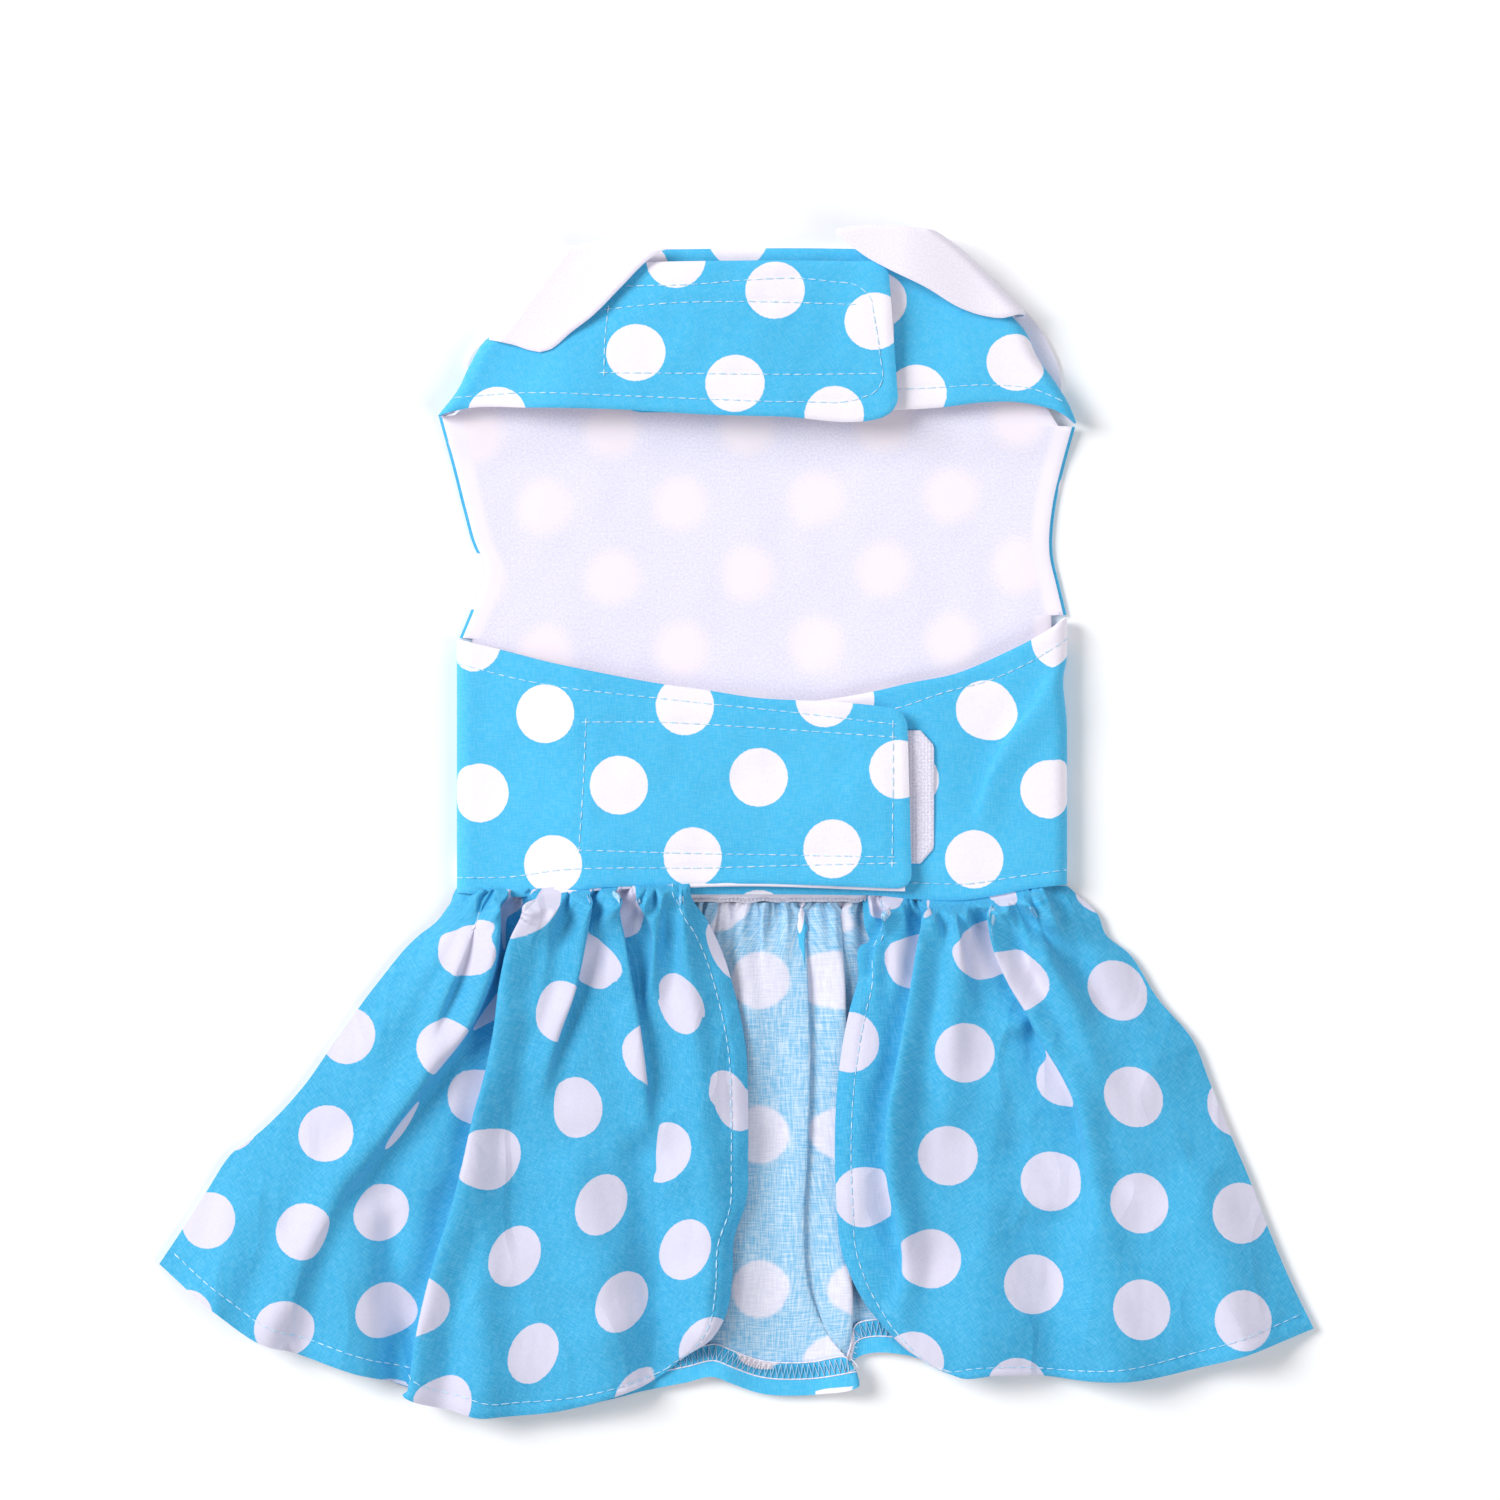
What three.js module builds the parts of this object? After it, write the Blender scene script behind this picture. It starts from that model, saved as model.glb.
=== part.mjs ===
// A small dog's dress in polka-dot cotton, lying flat on its back with the belly side up.
// Millimetres. X runs across the dress, Y from the waist seam towards the neck, and Z up
// from the surface that it lies on. The origin is the middle of the waist seam, on that surface.
// Left and right are as seen from above, with the neck away from the viewer.
import * as THREE from 'three';

// Thickness of the cloth, tape and gaps
const clothPly = 1.2;
const liningPly = 1.0;
const strapPly = 1.6;
const tapePly = 1.0;
const collarPly = 1.6;
const clearance = 0.3;
const insideRoom = 5.1;

// Bodice: the back panel with its waist, armholes and shoulders
const waistWidth = 202.4;
const waistLap = 3.7;
const liningLap = 1.5;
const armholeDepth = 7;
const shoulderHeight = 157;
const shoulderWidth = 211;
const neckHeight = 212.5;
const neckWidth = 131;
const neckScoop = 4;
const sideTurn = 5;
const liftRun = 16;

// Belly straps: heights at the side fold and at the free end, and the reach from side fold to end
const bellySideLeft = 83;
const bellySideRight = 90;
const bellyEndHeight = 58;
const bellyReach = 150;
const bellyRamp = 32;
const bellyCorner = 5;

// Neck straps: both lie over the back panel between its shoulders and its neckline
const neckStrapReach = 150.5;
const neckStrapTopLeft = 207;
const neckStrapTopRight = 211.5;
const neckRamp = 12;
const neckCorner = 7;

// Hook-and-loop tape: lengths, widths and the places of their middles
const bellyTapeLength = 100;
const bellyTapeWidth = 44;
const bellyTapeHeight = 30.7;
const bellyHookX = -7.5;
const bellyLoopX = 6.8;
const neckTapeLength = 84;
const neckTapeWidth = 22;
const neckTapeHeight = 181.5;
const neckHookX = -7;
const neckLoopX = 1.5;

// Seam allowance inside the back of the waist
const seamWidth = 3.6;
const seamLength = 188;

// Collar: depth on the back, and how far each tip reaches in from its fold
const collarDepth = 45;
const leftTipReach = 37;
const leftTipRise = 35;
const rightTipReach = 42;
const rightTipRise = 23;
const tipClimb = 14;
const tipEase = 0.4;

// Skirt: drop below the waist, reach of the hem corners, and the places of the front edges
const skirtDrop = 175;
const skirtReachLeft = 200;
const skirtReachRight = 183;
const leftFrontAtWaist = -24;
const leftFrontAtHem = -34;
const rightFrontAtWaist = 35;
const rightFrontAtHem = 59;
const frontBow = 28;
const sideBow = 5;
const skirtRoom = 6.5;
const backFoldRise = 4;
const frontFoldRise = 9;
const hemSink = 3;
const gatherRise = 0.9;
const gatherRun = 0.3;

// Levels above the surface, worked out from the plies
const bellyLift = 0;
const neckLift = collarPly + clearance;
const liningTop = clothPly + clearance + liningPly;
const lowStrap = liningTop + insideRoom;
const tapeStack = 2 * (tapePly + clearance) + clearance;
const highStrap = lowStrap + strapPly + tapeStack;
const waistHalf = waistWidth / 2;
const turnInset = sideTurn + clearance;
const skirtFloor = backFoldRise + clothPly + skirtRoom;

// How finely the sheets are divided
const turnSteps = 6;
const rampSteps = 4;
const runSteps = 5;
const tipRows = 5;
const foldSteps = 6;
const frontRows = 9;
const backRows = 8;

const dressPrint = new THREE.MeshStandardMaterial({ color: 0x35b4e2, roughness: 0.85, metalness: 0 });
const reversePrint = new THREE.MeshStandardMaterial({ color: 0x7fc6e4, roughness: 0.9, metalness: 0 });
const whiteLining = new THREE.MeshStandardMaterial({ color: 0xe9eafa, roughness: 0.9, metalness: 0 });
const whiteCollar = new THREE.MeshStandardMaterial({ color: 0xf6f4fb, roughness: 0.8, metalness: 0 });
const whiteTape = new THREE.MeshStandardMaterial({ color: 0xeef2f6, roughness: 0.95, metalness: 0 });

const mix = (a, b, share) => a + (b - a) * share;
const clamp = (x) => Math.min(1, Math.max(0, x));
const smooth = (x) => clamp(x) ** 2 * (3 - 2 * clamp(x));

// Smooth curve through the numbers of a list, at a place counted in steps from its first one
function through(list, place) {
  const last = list.length - 1;
  const i = Math.min(Math.floor(clamp(place / last) * last), last - 1);
  const x = clamp(place / last) * last - i;
  const slopeIn = i > 0 ? (list[i + 1] - list[i - 1]) / 2 : list[1] - list[0];
  const slopeOut = i < last - 1 ? (list[i + 2] - list[i]) / 2 : list[last] - list[last - 1];
  const rise = list[i + 1] - list[i];
  const bend = 3 * rise - 2 * slopeIn - slopeOut;
  return list[i] + slopeIn * x + bend * x * x + (slopeIn + slopeOut - 2 * rise) * x ** 3;
}

// A table's column, read where its first column has the value x, with straight runs between its rows
function lookUp(table, first, column, x) {
  const next = table.findIndex((row) => row[first] > x);
  if (next === 0) return table[0][column];
  if (next < 0) return table[table.length - 1][column];
  const [low, high] = [table[next - 1], table[next]];
  return mix(low[column], high[column], (x - low[first]) / (high[first] - low[first]));
}

// A closed wall of cloth. place(s, t) gives the two points, under and over, of each place on the sheet
function sheet(name, material, columns, rows, place) {
  const points = [];
  for (const s of columns) {
    for (const t of rows) {
      const { under, over } = place(s, t);
      points.push(under, over);
    }
  }
  const at = (i, j, side) => 2 * (i * rows.length + j) + side;
  const faces = [];
  const quad = (a, b, c, d) => faces.push(a, b, c, a, c, d);
  const [lastColumn, lastRow] = [columns.length - 1, rows.length - 1];
  for (let i = 0; i < lastColumn; i++) {
    for (let j = 0; j < lastRow; j++) {
      quad(at(i, j, 1), at(i + 1, j, 1), at(i + 1, j + 1, 1), at(i, j + 1, 1));
      quad(at(i, j + 1, 0), at(i + 1, j + 1, 0), at(i + 1, j, 0), at(i, j, 0));
    }
    quad(at(i, 0, 0), at(i + 1, 0, 0), at(i + 1, 0, 1), at(i, 0, 1));
    quad(at(i, lastRow, 1), at(i + 1, lastRow, 1), at(i + 1, lastRow, 0), at(i, lastRow, 0));
  }
  for (let j = 0; j < lastRow; j++) {
    quad(at(0, j, 1), at(0, j + 1, 1), at(0, j + 1, 0), at(0, j, 0));
    quad(at(lastColumn, j, 0), at(lastColumn, j + 1, 0), at(lastColumn, j + 1, 1), at(lastColumn, j, 1));
  }
  const geometry = new THREE.BufferGeometry();
  geometry.setAttribute('position', new THREE.Float32BufferAttribute(points.flat(), 3));
  geometry.setIndex(volumeOf(points, faces) > 0 ? faces : faces.reverse());
  geometry.computeVertexNormals();
  const mesh = new THREE.Mesh(geometry, material);
  mesh.name = name;
  return mesh;
}

function volumeOf(points, faces) {
  let volume = 0;
  for (let f = 0; f < faces.length; f += 3) {
    const [a, b, c] = [0, 1, 2].map((k) => new THREE.Vector3(...points[faces[f + k]]));
    volume += a.dot(b.cross(c)) / 6;
  }
  return volume;
}

// Even shares from 0 to 1. A power above 1 sets them closer at the start
function shares(count, power = 1) {
  return Array.from({ length: count + 1 }, (_, i) => (i / count) ** power);
}

// A height of cloth: the point on its underside, and the one straight above on its upper side
function ply(x, y, z, thickness) {
  return { under: [x, y, z], over: [x, y, z + thickness] };
}

// The neck's fold lines slope in from the shoulders to the neckline, steeper towards the top
const neckFold = [
  { up: 0, out: 1 },
  { up: 0.1, out: 0.88 },
  { up: 0.26, out: 0.73 },
  { up: 0.44, out: 0.58 },
  { up: 1, out: 0 },
];

function neckFoldAt(y) {
  const up = (y - shoulderHeight) / (neckHeight - shoulderHeight);
  return mix(neckWidth, shoulderWidth, lookUp(neckFold, 'up', 'out', up)) / 2;
}

// The armhole's edge dips in between the belly strap and the shoulder
const armhole = [
  { up: 0, dip: 0, flare: 0 },
  { up: 0.16, dip: 0.8, flare: 0 },
  { up: 0.33, dip: 1, flare: 0.05 },
  { up: 0.55, dip: 0.8, flare: 0.3 },
  { up: 0.8, dip: 0.3, flare: 0.7 },
  { up: 1, dip: 0, flare: 1 },
];

function armholeAt(bellySide, y) {
  const up = (y - bellySide) / (shoulderHeight - bellySide);
  const flare = lookUp(armhole, 'up', 'flare', up) * (shoulderWidth - waistWidth) / 2;
  return waistHalf + flare - lookUp(armhole, 'up', 'dip', up) * armholeDepth;
}

// Half the back panel's width at y: it stops short of the folds where a strap goes round them
function backHalfAt(bellySide, y, edge) {
  if (y <= bellySide + clearance) return waistHalf - turnInset;
  if (y < shoulderHeight - clearance) return armholeAt(bellySide, y) - edge;
  return neckFoldAt(Math.min(y, neckHeight)) - turnInset;
}

// The panel rises where the collar lies under it
function liftAt(y) {
  return neckLift * smooth((y - shoulderHeight + liftRun + 2) / liftRun);
}

function panel(name, material, bottom, top, level, thickness, edge) {
  const heights = [bottom, mix(bottom, bellySideLeft, 0.5), top];
  for (const side of [bellySideLeft, bellySideRight]) {
    heights.push(side, side + clearance, side + 2 * clearance);
  }
  for (const { up } of armhole.slice(1, -1)) heights.push(mix(bellySideRight, shoulderHeight, up));
  for (const up of shares(4)) heights.push(shoulderHeight - liftRun * up - 1);
  for (const { up } of neckFold.slice(0, -1)) heights.push(mix(shoulderHeight, neckHeight, up));
  heights.push(mix(shoulderHeight, neckHeight, 0.72), shoulderHeight - clearance);
  const rows = heights.filter((y) => y >= bottom && y <= top).sort((a, b) => a - b);
  const apart = rows.filter((y, i) => i === 0 || y - rows[i - 1] > clearance / 3);
  return sheet(name, material, shares(3), apart, (s, y) => {
    const left = -backHalfAt(bellySideLeft, y, edge);
    const right = backHalfAt(bellySideRight, y, edge);
    const scoop = y === top ? neckScoop * Math.sin(Math.PI * s) : 0;
    return ply(mix(left, right, s), y - scoop, liftAt(y) + level, thickness);
  });
}

// How high the underside of a strap runs, so far in from the end of its turn
function strapLevel(lift, ramp, high, inward) {
  return lift + mix(lowStrap, high ? highStrap : lowStrap, smooth(inward / ramp));
}

// A strap's columns: round its turn up to 0, up its ramp to 1, and along the rest to its end at 2
const strapColumns = [
  ...shares(turnSteps).map((share) => share - 1),
  ...shares(rampSteps).slice(1),
  ...shares(runSteps).slice(1).map((share) => share + 1),
];

// A strap starts beside the back panel, turns up round the side fold and runs in over the front.
// side is -1 for the left strap and 1 for the right one. fold(y) is the fold's place, and
// outline(along, t) gives y, and the end's cut-back, of each place on the strap
function strap(name, material, side, spec) {
  const depth = sideTurn + spec.outside;
  return sheet(name, material, strapColumns, spec.rows, (s, t) => {
    const total = spec.fold(mix(spec.bottom(0), spec.top(0), t)) - sideTurn - spec.end(t);
    const inward = s < 1 ? spec.ramp * clamp(s) : mix(spec.ramp, total, s - 1);
    const along = inward / total;
    const y = mix(spec.bottom(along), spec.top(along), t);
    const start = spec.fold(mix(spec.bottom(0), spec.top(0), t)) - sideTurn;
    if (s < 0) {
      const angle = Math.PI * (s + 0.5);
      const [low, high] = [spec.floor, spec.level(start, y) + spec.ply];
      const point = (inset) => [
        side * (start + (depth - inset) * Math.cos(angle)),
        y,
        (low + high) / 2 + ((high - low) / 2 - inset) * Math.sin(angle),
      ];
      return { under: point(spec.ply), over: point(0) };
    }
    return ply(side * (start - inward), y, spec.level(start - inward, y), spec.ply);
  });
}

// Rounds the corners of a strap's free end, by how far each row stands back from the end
function corner(t, length, radius) {
  const fromCorner = Math.min(t, 1 - t) * length;
  const inside = clamp(1 - fromCorner / radius);
  return radius * (1 - Math.sqrt(1 - inside ** 2));
}

const cornerRows = [0, 0.05, 0.12, 0.5, 0.88, 0.95, 1];

// A neck strap has its rows where the fold line bends, and at its rounded corners
function neckRows(topHeight) {
  const bends = neckFold.map(({ up }) => up * (neckHeight - shoulderHeight) / (topHeight - shoulderHeight));
  return [...bends.filter((t) => t < 0.88), 0.05, 0.88, 0.95, 1].sort((a, b) => a - b);
}

function bellyStrap(name, side, sideHeight, high) {
  return strap(name, dressPrint, side, {
    ply: strapPly,
    outside: 0,
    floor: bellyLift,
    ramp: bellyRamp,
    rows: cornerRows,
    fold: () => waistHalf,
    bottom: () => 0,
    top: (along) => mix(sideHeight, bellyEndHeight, 1 - (1 - along) ** 1.5),
    end: (t) => waistHalf - bellyReach + corner(t, bellyEndHeight, bellyCorner),
    level: (x) => strapLevel(bellyLift, bellyRamp, high, waistHalf - sideTurn - x),
  });
}

function neckStrap(name, side, topHeight, high) {
  const length = topHeight - shoulderHeight;
  return strap(name, dressPrint, side, {
    ply: strapPly,
    outside: 0,
    floor: neckLift,
    ramp: neckRamp,
    rows: neckRows(topHeight),
    fold: neckFoldAt,
    bottom: () => shoulderHeight,
    top: () => topHeight,
    end: (t) => shoulderWidth / 2 - neckStrapReach + corner(t, length, neckCorner),
    level: (x, y) => strapLevel(neckLift, neckRamp, high, neckFoldAt(y) - sideTurn - x),
  });
}

// The collar's tips, from their fold at 0 to their point at 1: heights of the lower and the upper
// edge, as shares of the tip's own rise above or below the neckline
const leftTip = [
  { along: 0, low: 0.88, high: 0 },
  { along: 0.3, low: 1, high: -0.03 },
  { along: 1, low: 1, high: 0 },
];
const rightTip = [
  { along: 0, low: 1, high: 0 },
  { along: 0.1, low: 1, high: -0.2 },
  { along: 0.3, low: 0.85, high: -0.28 },
  { along: 0.6, low: 0.35, high: -0.28 },
  { along: 0.82, low: 0, high: -0.26 },
  { along: 1, low: -0.12, high: -0.22 },
];

function collarTip(name, side, table, rise, ramp, end, level) {
  const edge = (column) => (along) => neckHeight - rise * lookUp(table, 'along', column, along);
  return strap(name, whiteCollar, side, {
    ply: collarPly,
    outside: collarPly + clearance,
    floor: 0,
    ramp,
    rows: shares(tipRows),
    fold: (y) => neckFoldAt(Math.min(y, neckHeight)),
    bottom: edge('low'),
    top: edge('high'),
    end,
    level,
  });
}

const onStrap = strapPly + clearance;
const leftTipPoint = neckFoldAt(neckHeight - leftTipRise);
const rightTipPoint = neckWidth / 2 - rightTipReach;
const leftTipEnd = (t) => mix(leftTipPoint - sideTurn - 10, neckWidth / 2 - leftTipReach, t);
const leftTipLevel = (x, y) =>
  strapLevel(neckLift, neckRamp, true, neckFoldAt(Math.min(y, neckHeight)) - sideTurn - x) + onStrap + tipEase;
// The right tip lies on the lower strap, and climbs to pass over the end of the upper one
const upperStrapEnd = neckStrapReach - shoulderWidth / 2 + clearance;
const rightTipLevel = (x) => {
  const climbed = smooth(1 - (x - upperStrapEnd) / tipClimb);
  return neckLift + mix(lowStrap, highStrap, climbed) + onStrap + tipEase;
};

function tape(name, length, width, x, y, level) {
  const mesh = new THREE.Mesh(new THREE.BoxGeometry(length, width, tapePly), whiteTape);
  mesh.name = name;
  mesh.position.set(x, y, level + tapePly / 2);
  return mesh;
}

// Skirt outlines. Side and front edges: how far they bow out from the straight line, going down.
const sideEdge = [
  { down: 0, bow: 0 },
  { down: 0.23, bow: 0.7 },
  { down: 0.52, bow: 0 },
  { down: 0.8, bow: 0.8 },
  { down: 1, bow: 0 },
];
const frontEdge = [
  { down: 0, left: 0, right: 0 },
  { down: 0.1, left: 0.36, right: 0.12 },
  { down: 0.25, left: 0.7, right: 0.42 },
  { down: 0.5, left: 0.86, right: 0.8 },
  { down: 0.75, left: 0.8, right: 0.98 },
  { down: 0.9, left: 0.66, right: 0.7 },
  { down: 1, left: 0, right: 0 },
];

// Hems, from the side corner at 0 to the front corner at 1: how far down, as a share of the drop
const leftHem = [
  { across: 0, drop: 0.71 },
  { across: 0.11, drop: 0.796 },
  { across: 0.26, drop: 0.873 },
  { across: 0.48, drop: 0.939 },
  { across: 0.64, drop: 1 },
  { across: 0.8, drop: 0.985 },
  { across: 1, drop: 0.914 },
];
const rightHem = [
  { across: 0, drop: 0.831 },
  { across: 0.14, drop: 0.867 },
  { across: 0.46, drop: 0.928 },
  { across: 0.85, drop: 0.917 },
  { across: 1, drop: 0.896 },
];
const backHem = [
  { across: 0, drop: 0.71 },
  { across: 0.12, drop: 0.85 },
  { across: 0.28, drop: 0.955 },
  { across: 0.43, drop: 0.925 },
  { across: 0.55, drop: 0.958 },
  { across: 0.68, drop: 0.91 },
  { across: 0.85, drop: 0.92 },
  { across: 1, drop: 0.831 },
];

// Folds, from the side to the front edge: place at the waist and at the hem, and how high they stand
const leftFolds = [
  { waist: 0, hem: 0, rise: 0 },
  { waist: 0.07, hem: 0.05, rise: 0.3 },
  { waist: 0.16, hem: 0.15, rise: 0.75 },
  { waist: 0.22, hem: 0.27, rise: 0.15 },
  { waist: 0.29, hem: 0.39, rise: 1 },
  { waist: 0.36, hem: 0.52, rise: 0.15 },
  { waist: 0.47, hem: 0.65, rise: 0.9 },
  { waist: 0.62, hem: 0.77, rise: 0.25 },
  { waist: 0.76, hem: 0.87, rise: 0.7 },
  { waist: 1, hem: 1, rise: 0 },
];
const rightFolds = [
  { waist: 0, hem: 0, rise: 0 },
  { waist: 0.07, hem: 0.06, rise: 0.3 },
  { waist: 0.17, hem: 0.2, rise: 0.9 },
  { waist: 0.3, hem: 0.36, rise: 0.3 },
  { waist: 0.42, hem: 0.48, rise: 1 },
  { waist: 0.5, hem: 0.58, rise: 0.1 },
  { waist: 0.62, hem: 0.7, rise: 0.7 },
  { waist: 0.74, hem: 0.8, rise: 0.2 },
  { waist: 0.86, hem: 0.9, rise: 0.6 },
  { waist: 1, hem: 1, rise: 0 },
];
const backFolds = [
  { waist: 0, hem: 0, rise: 0 },
  { waist: 0.03, hem: 0.03, rise: 0 },
  { waist: 0.1, hem: 0.11, rise: 0.5 },
  { waist: 0.18, hem: 0.19, rise: 0 },
  { waist: 0.27, hem: 0.28, rise: 0.8 },
  { waist: 0.35, hem: 0.36, rise: 0 },
  { waist: 0.43, hem: 0.44, rise: 1 },
  { waist: 0.51, hem: 0.5, rise: 0.1 },
  { waist: 0.58, hem: 0.56, rise: 1 },
  { waist: 0.66, hem: 0.63, rise: 0 },
  { waist: 0.74, hem: 0.72, rise: 0.7 },
  { waist: 0.82, hem: 0.81, rise: 0 },
  { waist: 0.9, hem: 0.9, rise: 0.5 },
  { waist: 0.97, hem: 0.97, rise: 0 },
  { waist: 1, hem: 1, rise: 0 },
];

// Places on a skirt panel: along its folds from waist to hem, between its two bowed edges
function skirtPlace(folds, hem, edges, index, down) {
  const [waistShare, hemShare, rise] = ['waist', 'hem', 'rise'].map((column) =>
    through(folds.map((row) => row[column]), index));
  const drop = skirtDrop * lookUp(hem, 'across', 'drop', clamp(hemShare));
  const straight = mix(
    mix(edges.waist[0], edges.waist[1], waistShare),
    mix(edges.hem[0], edges.hem[1], hemShare),
    down,
  );
  const x = straight + mix(edges.bow[0](down), edges.bow[1](down), hemShare);
  return { x, y: mix(edges.top, -drop, down), rise: Math.max(0, rise) };
}

const sideOut = (down) => sideBow * lookUp(sideEdge, 'down', 'bow', down);
const gatherAt = (index, down) =>
  gatherRise * (0.5 - 0.5 * Math.cos(2 * Math.PI * index * foldSteps / 3)) * (1 - smooth(down / gatherRun));

function skirtFront(name, side, folds, hem, frontAtWaist, frontAtHem, hemReach, high) {
  const edges = {
    top: -clearance,
    waist: [side * waistHalf, frontAtWaist],
    hem: [side * hemReach, frontAtHem],
    bow: [
      (down) => side * sideOut(down),
      (down) => -side * frontBow * lookUp(frontEdge, 'down', side < 0 ? 'left' : 'right', down),
    ],
  };
  const sideLevel = clothPly + clearance;
  const columns = shares((folds.length - 1) * foldSteps).map((s) => s * (folds.length - 1));
  return sheet(name, dressPrint, columns, shares(frontRows, 1.3), (index, down) => {
    const { x, y, rise } = skirtPlace(folds, hem, edges, index, down);
    const waistLevel = strapLevel(bellyLift, bellyRamp, high, waistHalf - sideTurn - side * x);
    const folded = skirtFloor - hemSink * smooth(down) + frontFoldRise * rise;
    const level = mix(waistLevel, folded, smooth(down / gatherRun)) + gatherAt(index, down);
    return ply(x, y, mix(sideLevel, level, Math.sqrt(smooth(index))), clothPly);
  });
}

function skirtBack() {
  const edges = {
    top: -waistLap - clearance,
    waist: [-waistHalf, waistHalf],
    hem: [-skirtReachLeft, skirtReachRight],
    bow: [(down) => -sideOut(down), sideOut],
  };
  const columns = shares((backFolds.length - 1) * foldSteps).map((s) => s * (backFolds.length - 1));
  return sheet('skirt_back', reversePrint, columns, shares(backRows, 1.3), (index, down) => {
    const { x, y, rise } = skirtPlace(backFolds, backHem, edges, index, down);
    const inside = smooth(Math.min(index, backFolds.length - 1 - index));
    const folded = backFoldRise * rise * smooth(down / gatherRun);
    return ply(x, y, (folded + gatherAt(index, down)) * inside, clothPly);
  });
}

const lowBelly = lowStrap + onStrap;
const lowNeck = neckLift + lowBelly;
const dress = new THREE.Group();
dress.name = 'dog_dress';
dress.add(
  panel('bodice_back', dressPrint, -waistLap, neckHeight, 0, clothPly, 0),
  panel('bodice_lining', whiteLining, 0.4 + clearance, neckHeight, clothPly + clearance, liningPly, liningLap),
  sheet('waist_seam', whiteTape, shares(1), shares(1), (s, t) => ply(
    (s - 0.5) * seamLength, mix(0.4 - seamWidth, 0.4, t), clothPly + clearance, liningPly)),
  bellyStrap('belly_strap_left', -1, bellySideLeft, true),
  bellyStrap('belly_strap_right', 1, bellySideRight, false),
  tape('belly_loop_patch', bellyTapeLength, bellyTapeWidth, bellyLoopX, bellyTapeHeight, lowBelly),
  tape('belly_hook_patch', bellyTapeLength, bellyTapeWidth, bellyHookX, bellyTapeHeight,
    lowBelly + tapePly + clearance),
  neckStrap('neck_strap_left', -1, neckStrapTopLeft, true),
  neckStrap('neck_strap_right', 1, neckStrapTopRight, false),
  tape('neck_loop_patch', neckTapeLength, neckTapeWidth, neckLoopX, neckTapeHeight, lowNeck),
  tape('neck_hook_patch', neckTapeLength, neckTapeWidth, neckHookX, neckTapeHeight,
    lowNeck + tapePly + clearance),
  sheet('collar_back', whiteCollar, shares(1), shares(5), (s, t) => {
    const y = mix(neckHeight - collarDepth, neckHeight, t);
    return ply((2 * s - 1) * (neckFoldAt(y) - turnInset), y, 0, collarPly);
  }),
  collarTip('collar_tip_left', -1, leftTip, leftTipRise, neckRamp, leftTipEnd, leftTipLevel),
  collarTip('collar_tip_right', 1, rightTip, rightTipRise, tipClimb, () => rightTipPoint, rightTipLevel),
  skirtBack(),
  skirtFront('skirt_front_left', -1, leftFolds, leftHem, leftFrontAtWaist, leftFrontAtHem,
    skirtReachLeft, true),
  skirtFront('skirt_front_right', 1, rightFolds, rightHem, rightFrontAtWaist, rightFrontAtHem,
    skirtReachRight, false),
);

export default dress;
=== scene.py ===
import math

import bpy
import numpy as np
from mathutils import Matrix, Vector
from mathutils.bvhtree import BVHTree


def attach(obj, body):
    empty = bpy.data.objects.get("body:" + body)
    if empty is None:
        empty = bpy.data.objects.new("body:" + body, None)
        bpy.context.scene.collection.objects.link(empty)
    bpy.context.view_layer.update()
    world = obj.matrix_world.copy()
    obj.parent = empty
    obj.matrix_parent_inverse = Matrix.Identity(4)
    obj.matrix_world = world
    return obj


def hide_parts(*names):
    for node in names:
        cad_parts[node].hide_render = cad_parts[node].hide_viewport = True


# Places and sizes are millimetres in the CAD's own axes, until a mesh is made of them.
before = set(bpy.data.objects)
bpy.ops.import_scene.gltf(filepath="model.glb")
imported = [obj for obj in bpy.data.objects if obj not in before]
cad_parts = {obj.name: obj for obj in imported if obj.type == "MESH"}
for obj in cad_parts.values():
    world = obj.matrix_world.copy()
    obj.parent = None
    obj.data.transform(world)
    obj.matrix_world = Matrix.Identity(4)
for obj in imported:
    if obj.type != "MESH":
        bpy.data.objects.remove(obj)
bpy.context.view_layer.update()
print("frame loaded")

cloth = {
    "ply": 0.8,
    "collarPly": 1.0,
    "dotRadius": 9.6,
    "dotRow": 46.2,  # from dot to dot along a row
    "dotDrop": 49.5,  # over two rows
    "stitchPitch": 3.55,
    "stitchSize": (3.2, 0.4, 0.28),
    "stitchInset": 5.9,  # from the skirt's edges
    "turnWidth": 14,  # of the cut cloth that goes round a fold
}
level = {  # heights of the upper faces
    "backPanel": 1.1,
    "lining": 2.4,
    "lowStrap": 9.0,
    "highStrap": 13.5,
    "neckLift": 1.9,
    "turn": 5,
}


def mix(a, b, share):
    return a + (b - a) * share


def smooth(share):
    share = np.clip(share, 0, 1)
    return share * share * (3 - 2 * share)


def curveThrough(xs, values, x):
    # a smooth curve that has the values at xs, read at x
    slopes = np.gradient(values, xs, axis=0)
    i = np.clip(np.searchsorted(xs, x, side="right") - 1, 0, len(xs) - 2)
    gap, t = xs[i + 1] - xs[i], x - xs[i]
    if values.ndim > 1:
        gap, t = gap[..., None], t[..., None]
    t = t / gap
    start = values[i] * (2 * t**3 - 3 * t**2 + 1) + slopes[i] * gap * (t**3 - 2 * t**2 + t)
    return start + values[i + 1] * (3 * t**2 - 2 * t**3) + slopes[i + 1] * gap * (t**3 - t**2)


def curveAt(points, shares):
    # a smooth curve through the points, read at shares of its length
    points = np.asarray(points, float)
    reach = np.concatenate([[0], np.cumsum(np.linalg.norm(np.diff(points, axis=0), axis=1))])
    return curveThrough(reach, points, np.asarray(shares, float) * reach[-1])


def readTable(rows, x):
    # the second column of a table where its first column is x, with a smooth curve between rows
    xs, ys = np.asarray(rows, float).T
    if xs[0] > xs[-1]:
        xs, ys = xs[::-1], ys[::-1]
    return curveThrough(xs, ys, np.clip(x, xs[0], xs[-1]))


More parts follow.
